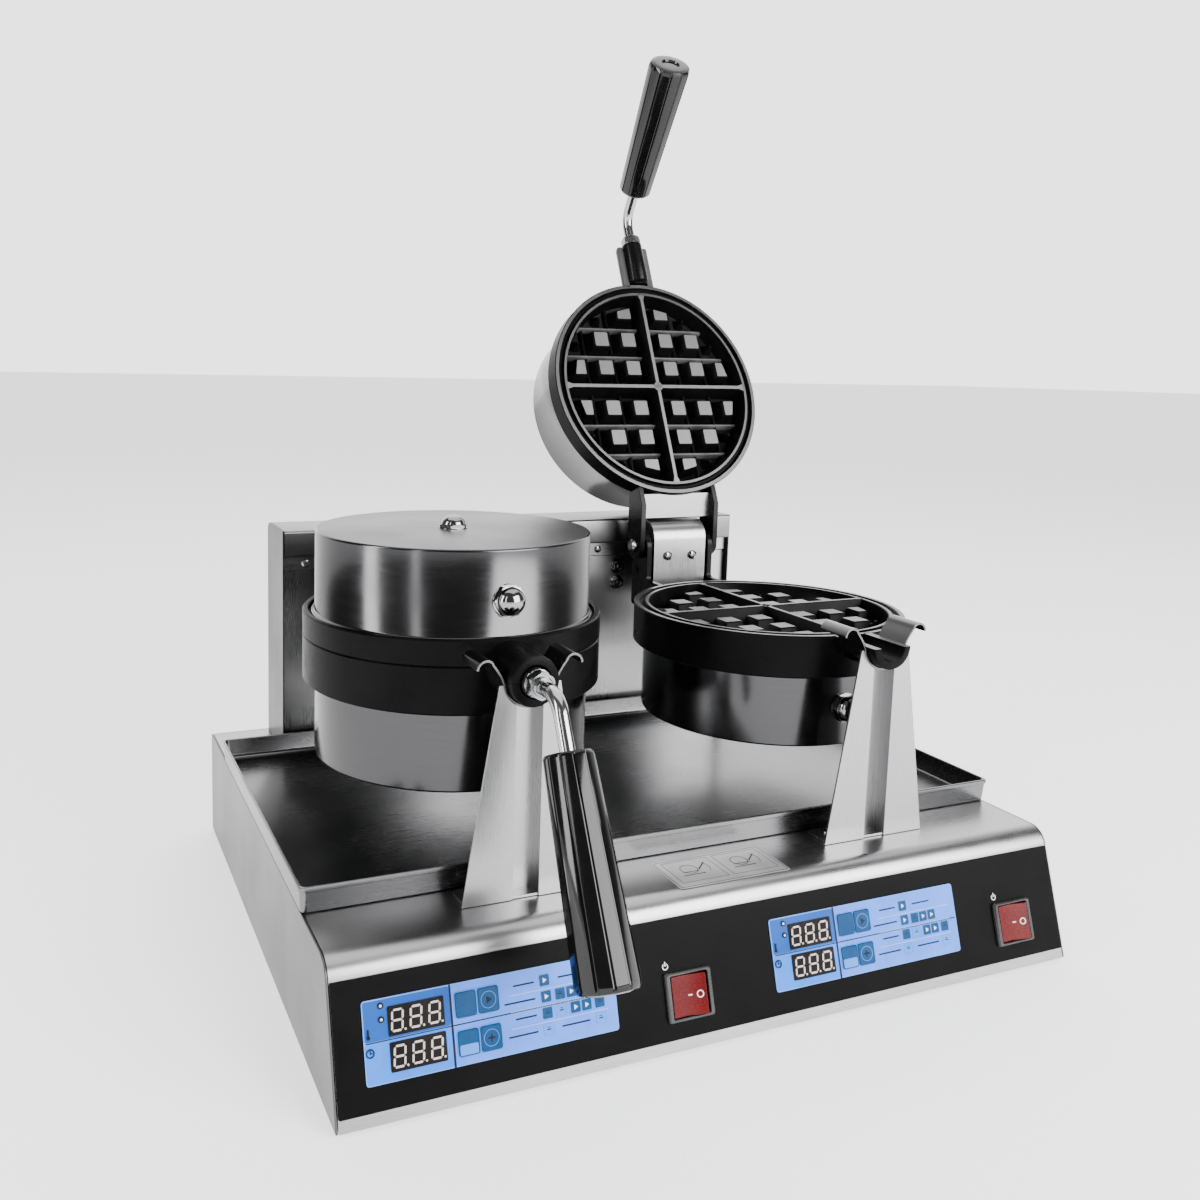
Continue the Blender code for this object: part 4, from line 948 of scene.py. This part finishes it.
class Foil:
    """The prints and keys of one display by colour, with x in parts of its length."""

    def __init__(self, hand):
        self.low, self.high = DISPLAYS[hand]
        self.prints = {kind: [] for kind in FOIL_FINISH}

    def x(self, part):
        return self.low + (self.high - self.low) * part / FOIL_PARTS

    def add(self, kind, solid):
        self.prints[kind].append(solid)

    def draw(self, kind, outline, top, bottom=FOIL_FACE):
        self.add(kind, plate(outline, bottom, top))

    def fields(self):
        """A deeper and a lighter blue on the left, one blue on the right, and the lines between."""
        edge, half_line = 0.0006, 0.0005
        left_end, right_start = self.x(49.7), self.x(51.1)
        for below, over, start, end in (("mid", "deep", self.low + edge, left_end),
                                        ("pale", "pale", right_start, self.high - edge)):
            self.draw(below, span(start, end, FOIL_LOW + edge, FOIL_MIDDLE - half_line, 0.0012), FIELD)
            self.draw(over, span(start, end, FOIL_MIDDLE + half_line, FOIL_HIGH - edge, 0.0012), FIELD)
        split = (left_end + right_start) / 2
        self.draw("ink", span(split - 0.0006, split + 0.0006, FOIL_LOW, FOIL_HIGH), FIELD + 0.00005)
        line = span(self.low + 0.001, self.high - 0.001, FOIL_MIDDLE - 0.0003, FOIL_MIDDLE + 0.0003)
        self.draw("ink", line, FIELD + 0.00004)

    def windows(self):
        """Two windows of three digits, two indicator dots, a thermometer and a clock."""
        for bottom, top in ((0.0277, 0.043), (0.0461, 0.0614)):
            middle = self.x(30.2)
            self.draw("window", span(middle - 0.0161, middle + 0.0161, bottom, top, 0.0008), RAISED)
            for part in (19.4, 30.0, 40.7):
                solids = digit(self.x(part), (bottom + top) / 2, RAISED - 0.0001, RAISED + 0.00006)
                self.prints["digit"] += solids
        for u in (0.0625, 0.0555):
            self.draw("ink", circle((self.x(10.5), u), 0.0017), PRINT)
            self.draw("white", circle((self.x(10.5), u), 0.0007, 16), PRINT + 0.0001)
        self.draw("ink", circle((self.x(2.7), 0.0474), 0.001, 16), PRINT)
        self.draw("ink", rectangle(self.x(2.7), 0.0495, 0.0005, 0.0022, 0.0003), PRINT)
        self.add("ink", hoop(self.x(3.2), 0.0395, 0.0024, 0.0018, FOIL_FACE, PRINT))
        self.draw("ink", rectangle(self.x(3.2), 0.0401, 0.0002, 0.001), PRINT)
        self.draw("ink", rectangle(self.x(3.7), 0.0395, 0.0008, 0.0002), PRINT)

    def arrow(self, kind, x, u, back, size, top, bottom=FOIL_FACE):
        self.draw(kind, [(x - back, u - size), (x + size, u), (x - back, u + size)], top, bottom)

    def keys(self):
        """Four embossed keys: plain, split, a start arrow and a plus."""
        top = RAISED + 0.0003
        for column, part in enumerate((59.0, 72.5)):
            for row, u in enumerate((0.0344, 0.0545)):
                x = self.x(part)
                outline = rectangle(x, u, 0.0062, 0.0067, 0.0018)
                crown = rectangle(x, u, 0.0058, 0.0063, 0.0016)
                self.add("key", layers([(FOIL_FACE, outline), (RAISED, outline), (top, crown)]))
                self.add("key_light", frame_of(x, u, 0.0067, 0.0072, 0.002, 0.0003, FOIL_FACE, RAISED))
                if column == 1:
                    self.add("key_light", hoop(x, u, 0.0046, 0.0043, RAISED, top + 0.00005))
                    if row == 1:
                        self.arrow("ink", x, u, 0.0013, 0.0022, top + 0.0001, RAISED)
                    else:
                        self.draw("ink", rectangle(x, u, 0.0022, 0.0005), top + 0.0001, RAISED)
                        self.draw("ink", rectangle(x, u, 0.0005, 0.0022), top + 0.0001, RAISED)
                elif row == 0:
                    half = rectangle(x, u - 0.0034, 0.0054, 0.0027, 0.001)
                    self.draw("key_light", half, top + 0.00005, RAISED)

    def diagram(self):
        """Rows of small key icons (0 a bar, 1 an arrow, 2 a pale key), with bars in place of words."""
        rows = (
            (0.0584, ((104.0, 1),)),
            (0.0495, ((104.3, 1), (113.1, 0), (120.2, 1), (127.5, 1))),
            (0.0406, ((104.3, 0), (113.1, 2), (122.0, 1), (129.1, 1), (137.5, 0))),
            (0.0318, ((104.3, 2), (137.5, 2))),
        )
        for u, icons in rows:
            for part, kind in icons:
                x = self.x(part + 3.4)
                fill = "key_light" if kind == 2 else "key"
                self.draw(fill, rectangle(x, u, 0.003, 0.003, 0.0008), FIELD + 0.0001)
                border = frame_of(x, u, 0.0034, 0.0034, 0.001, 0.0003, FOIL_FACE, FIELD + 0.00015)
                self.add("key_light", border)
                if kind == 1:
                    self.arrow("white", x, u, 0.0008, 0.0014, FIELD + 0.0002)
                else:
                    self.draw("ink", rectangle(x, u, 0.0013, 0.0003), FIELD + 0.0002)
                    self.draw("ink", rectangle(x, u + 0.0012, 0.0009, 0.0002), FIELD + 0.0002)
        for u, start, end in ((0.0584, 88.0, 101.0), (0.0495, 82.0, 101.0), (0.0406, 88.0, 101.0),
                              (0.0318, 83.0, 101.0), (0.0318, 116.0, 134.0), (0.0584, 116.0, 130.0)):
            bar = rectangle(self.x((start + end) / 2), u, (end - start) / 2000, 0.00045)
            self.draw("ink", bar, FIELD + 0.00005)
        for u in (0.0536, 0.0448, 0.0359):
            for i in range(38):
                dot = rectangle(self.x(86.0 + 1.6 * i), u, 0.00035, 0.00016)
                self.draw("white", dot, FIELD + 0.00006)


def build_display(hand):
    """The foil of one display and one piece for each colour printed on it."""
    foil = Foil(hand)
    foil.fields()
    foil.windows()
    foil.keys()
    foil.diagram()
    backing = plate(span(foil.low, foil.high, FOIL_LOW, FOIL_HIGH, 0.002), 0.00095, FOIL)
    piece(f"display_{hand}_foil", backing, FOIL_EDGE, at=FACE, replaces=[f"display_{hand}"],
          bevel=0.0002)
    for kind, solids in foil.prints.items():
        piece(f"display_{hand}_{kind}", merged(solids), FOIL_FINISH[kind], at=FACE, angle=30)


def build_switch(hand):
    """The bezel, the rocker with its marks and the power symbol above it."""
    x = SWITCH_X[hand]
    bezel = (
        (0.001, 0.016, 0.0142, 0.002), (0.0024, 0.016, 0.0142, 0.002),
        (0.0032, 0.0156, 0.0138, 0.0018), (0.0036, 0.015, 0.0133, 0.0015),
        (0.0036, 0.0131, 0.0126, 0.001), (0.0032, 0.0127, 0.0122, 0.0008),
        (-0.012, 0.0127, 0.0122, 0.0008), (-0.012, 0.0136, 0.0131, 0.001),
        (0.001, 0.0136, 0.0131, 0.001),
    )
    rings = [(n, rectangle(x, SWITCH_U, half_x, half_u, corner)) for n, half_x, half_u, corner in bezel]
    piece(f"bezel_{hand}_frame", layers(rings, loop=True), BLACK, at=FACE,
          replaces=[f"bezel_{hand}"], angle=30)
    seat = FACE @ Matrix.Translation((x, SWITCH_U, ROCKER_PIVOT)) @ Matrix.Rotation(-ROCKER_TILT, 4, "Y")
    valley = Vector((-0.0022, 0.0068))
    tip = Vector((0.0112, 0.0088))
    outline = [(-tip.x, tip.y), tuple(valley), tuple(tip), (0.0095, -0.006), (-0.0095, -0.006)]
    key = prism(outline, "y", -0.0117, 0.0117)
    piece(f"rocker_{hand}_key", key, RED, f"switch_{hand}", seat, [f"rocker_{hand}"],
          bevel=0.0005)
    marks = merged([plate(rectangle(0.003, 0, 0.0012, 0.0004), -0.0004, 0.00012),
                    hoop(0.0092, 0, 0.0022, 0.0016, -0.0004, 0.00012)])
    rise = math.degrees(math.atan2(tip.y - valley.y, tip.x - valley.x))
    moved(turned(marks, -rise, "Y"), valley.x, 0, valley.y)
    piece(f"rocker_{hand}_marks", marks, WHITE_INK, f"switch_{hand}", seat)
    symbol = arc((0, 0), 0.002, 125, 415, 20)
    ring = symbol + [(a * 0.72, b * 0.72) for a, b in symbol[::-1]]
    spot = x - (0.0139 if hand == "left" else 0.013)
    power = [moved(plate(ring, 0.0007, 0.00098), spot, 0.0515),
             plate(rectangle(spot, 0.053, 0.0003, 0.0013), 0.0007, 0.00098)]
    piece(f"power_symbol_{hand}", merged(power), WHITE_INK, at=FACE)


def build_controls():
    """The black film with its switch openings, the displays, the switches and the label."""
    film = plate(rectangle(0, 0.044, 0.258, 0.0345, 0.0012), 0.0003, 0.0009)
    film = boolean(film, "DIFFERENCE", switch_openings())
    piece("control_film", film, FILM, at=FACE, replaces=["control_overlay"])
    for hand in ("left", "right"):
        build_display(hand)
        build_switch(hand)
    build_label()


def build_label():
    """The instruction label on the ledge, with two line drawings and no words."""
    centre_x, centre_y, top = 0.007, -0.158, BASE_TOP
    high = top + 0.0002
    piece("ledge_label", plate(rectangle(centre_x, centre_y, 0.041, 0.019, 0.002), top, top + 0.00012), LABEL)
    lines = [frame_of(centre_x, centre_y, 0.0398, 0.0178, 0.0015, 0.0004, top, high)]
    for shift in (-0.0185, 0.0195):
        x = centre_x + shift
        swing_line = arc((x + 0.002, -0.1545), 0.0098, -40, 40, 8)
        lines += [
            frame_of(x, -0.1565, 0.017, 0.014, 0.001, 0.0003, top, high),
            hoop(x - 0.003, -0.1545, 0.006, 0.0055, top, high),
            plate(rectangle(x - 0.003, -0.162, 0.008, 0.0004), top, high),
            plate(rectangle(x - 0.003, -0.158, 0.0062, 0.0003), top, high),
            plate([(x + 0.003, -0.156), (x + 0.011, -0.1485), (x + 0.0118, -0.1492),
                   (x + 0.0038, -0.1567)], top, high),
            plate(swing_line + [(a - 0.0005, b) for a, b in swing_line[::-1]], top, high),
        ]
    piece("ledge_label_print", merged(lines), GREY_INK)


# ---- carried-over nodes

KEPT = {
    "rear_panel": STEEL_X, "bottom_plate": STEEL_X, "control_board": BOARD, "transformer": CORE,
    "terminal_block": CERAMIC,
}
for hand in ("left", "right"):
    for stem, material in (("foot_front", RUBBER), ("foot_rear", RUBBER), ("bearing", ZINC),
                           ("rear_axle", ZINC), ("element_lower", ELEMENT), ("element_upper", ELEMENT)):
        KEPT[f"{stem}_{hand}"] = material
for node, material in KEPT.items():
    keep(node, material)

build_chassis()
build_tray()
build_riser()
build_controls()
for hand in ("left", "right"):
    build_post(hand)
    build_grid(hand, -1, LOWER_BODY[hand], IRON[hand])
    build_can(hand, -1, LOWER_BODY[hand], IRON[hand])
    build_grid(hand, 1, f"lid_{hand}", LID[hand])
    build_can(hand, 1, f"lid_{hand}", LID[hand])
    build_hinge(hand)
    build_handle(hand)


# ---- floor, light and camera

FLOOR_HALF = 30
corners = [(x, y, 0) for x, y in rectangle(0, 0, FLOOR_HALF, FLOOR_HALF)]
floor = bpy.data.objects.new("floor", mesh_of(corners, [(0, 1, 2, 3)]))
paper = Surface("floor_paper", grey(0.86), 0.0, 0.75, **{"Specular IOR Level": 0.1,
                "Emission Color": (1, 1, 1, 1), "Emission Strength": 1.25})
fibre = paper.noise((60.0, 60.0, 60.0), 4.0)
paper.shade(fibre, 0.99, 1.01)
paper.bump(fibre, 0.05, 0.0004)
floor.data.materials.append(paper.material)
bpy.context.scene.collection.objects.link(floor)

# A bright wall behind the object that falls off to a dim room in front of it.
world = bpy.data.worlds.new("studio")
bpy.context.scene.world = world
world.use_nodes = True
nodes, links = world.node_tree.nodes, world.node_tree.links
direction = nodes.new("ShaderNodeTexCoord").outputs["Generated"]
toward = nodes.new("ShaderNodeVectorMath")
toward.operation = "DOT_PRODUCT"
links.new(direction, toward.inputs[0])
toward.inputs[1].default_value = (0.38, 0.925, 0.0)
backdrop = nodes.new("ShaderNodeMapRange")
backdrop.interpolation_type = "SMOOTHSTEP"
links.new(toward.outputs["Value"], backdrop.inputs["Value"])
for key, value in (("From Min", 0.3), ("From Max", 0.8), ("To Min", 0.15), ("To Max", 2.9)):
    backdrop.inputs[key].default_value = value
links.new(backdrop.outputs["Result"], nodes["Background"].inputs["Strength"])
nodes["Background"].inputs["Color"].default_value = (1, 1, 1, 1)


def softbox(name, place, aim, width, height, power):
    """A rectangular area light."""
    light = bpy.data.lights.new(name, "AREA")
    light.shape = "RECTANGLE"
    light.size = width
    light.size_y = height
    light.energy = power
    obj = bpy.data.objects.new(name, light)
    obj.location = place
    obj.rotation_euler = (Vector(aim) - Vector(place)).to_track_quat("-Z", "Y").to_euler()
    bpy.context.scene.collection.objects.link(obj)


softbox("wide_right", (1.05, -1.95, 1.0), (0, 0, 0.2), 1.7, 1.6, 115)
softbox("strip_left", (-2.1, -0.1, 0.9), (0, 0, 0.25), 0.42, 1.6, 30)
softbox("strip_front", (-1.55, -1.25, 0.9), (0, 0, 0.25), 0.2, 1.5, 6)
softbox("top", (0.3, 0.3, 2.6), (0, 0, 0), 3.0, 2.6, 50)

forward = Vector((0.37724, 0.91796, -0.1226)).normalized()
right = Vector((0.9257, -0.3778, 0.0199))
right = (right - forward * right.dot(forward)).normalized()
above = right.cross(forward)
camera_data = bpy.data.cameras.new("camera")
camera_data.sensor_width = 36
camera_data.lens = 33.70638
camera_data.shift_x = 0.0937583
camera_data.shift_y = -0.0801167
camera = bpy.data.objects.new("camera", camera_data)
basis = Matrix((right, above, -forward)).transposed().to_4x4()
camera.matrix_world = Matrix.Translation((-0.3986, -0.7378 + shift_y, 0.4038)) @ basis
bpy.context.scene.collection.objects.link(camera)
bpy.context.scene.camera = camera
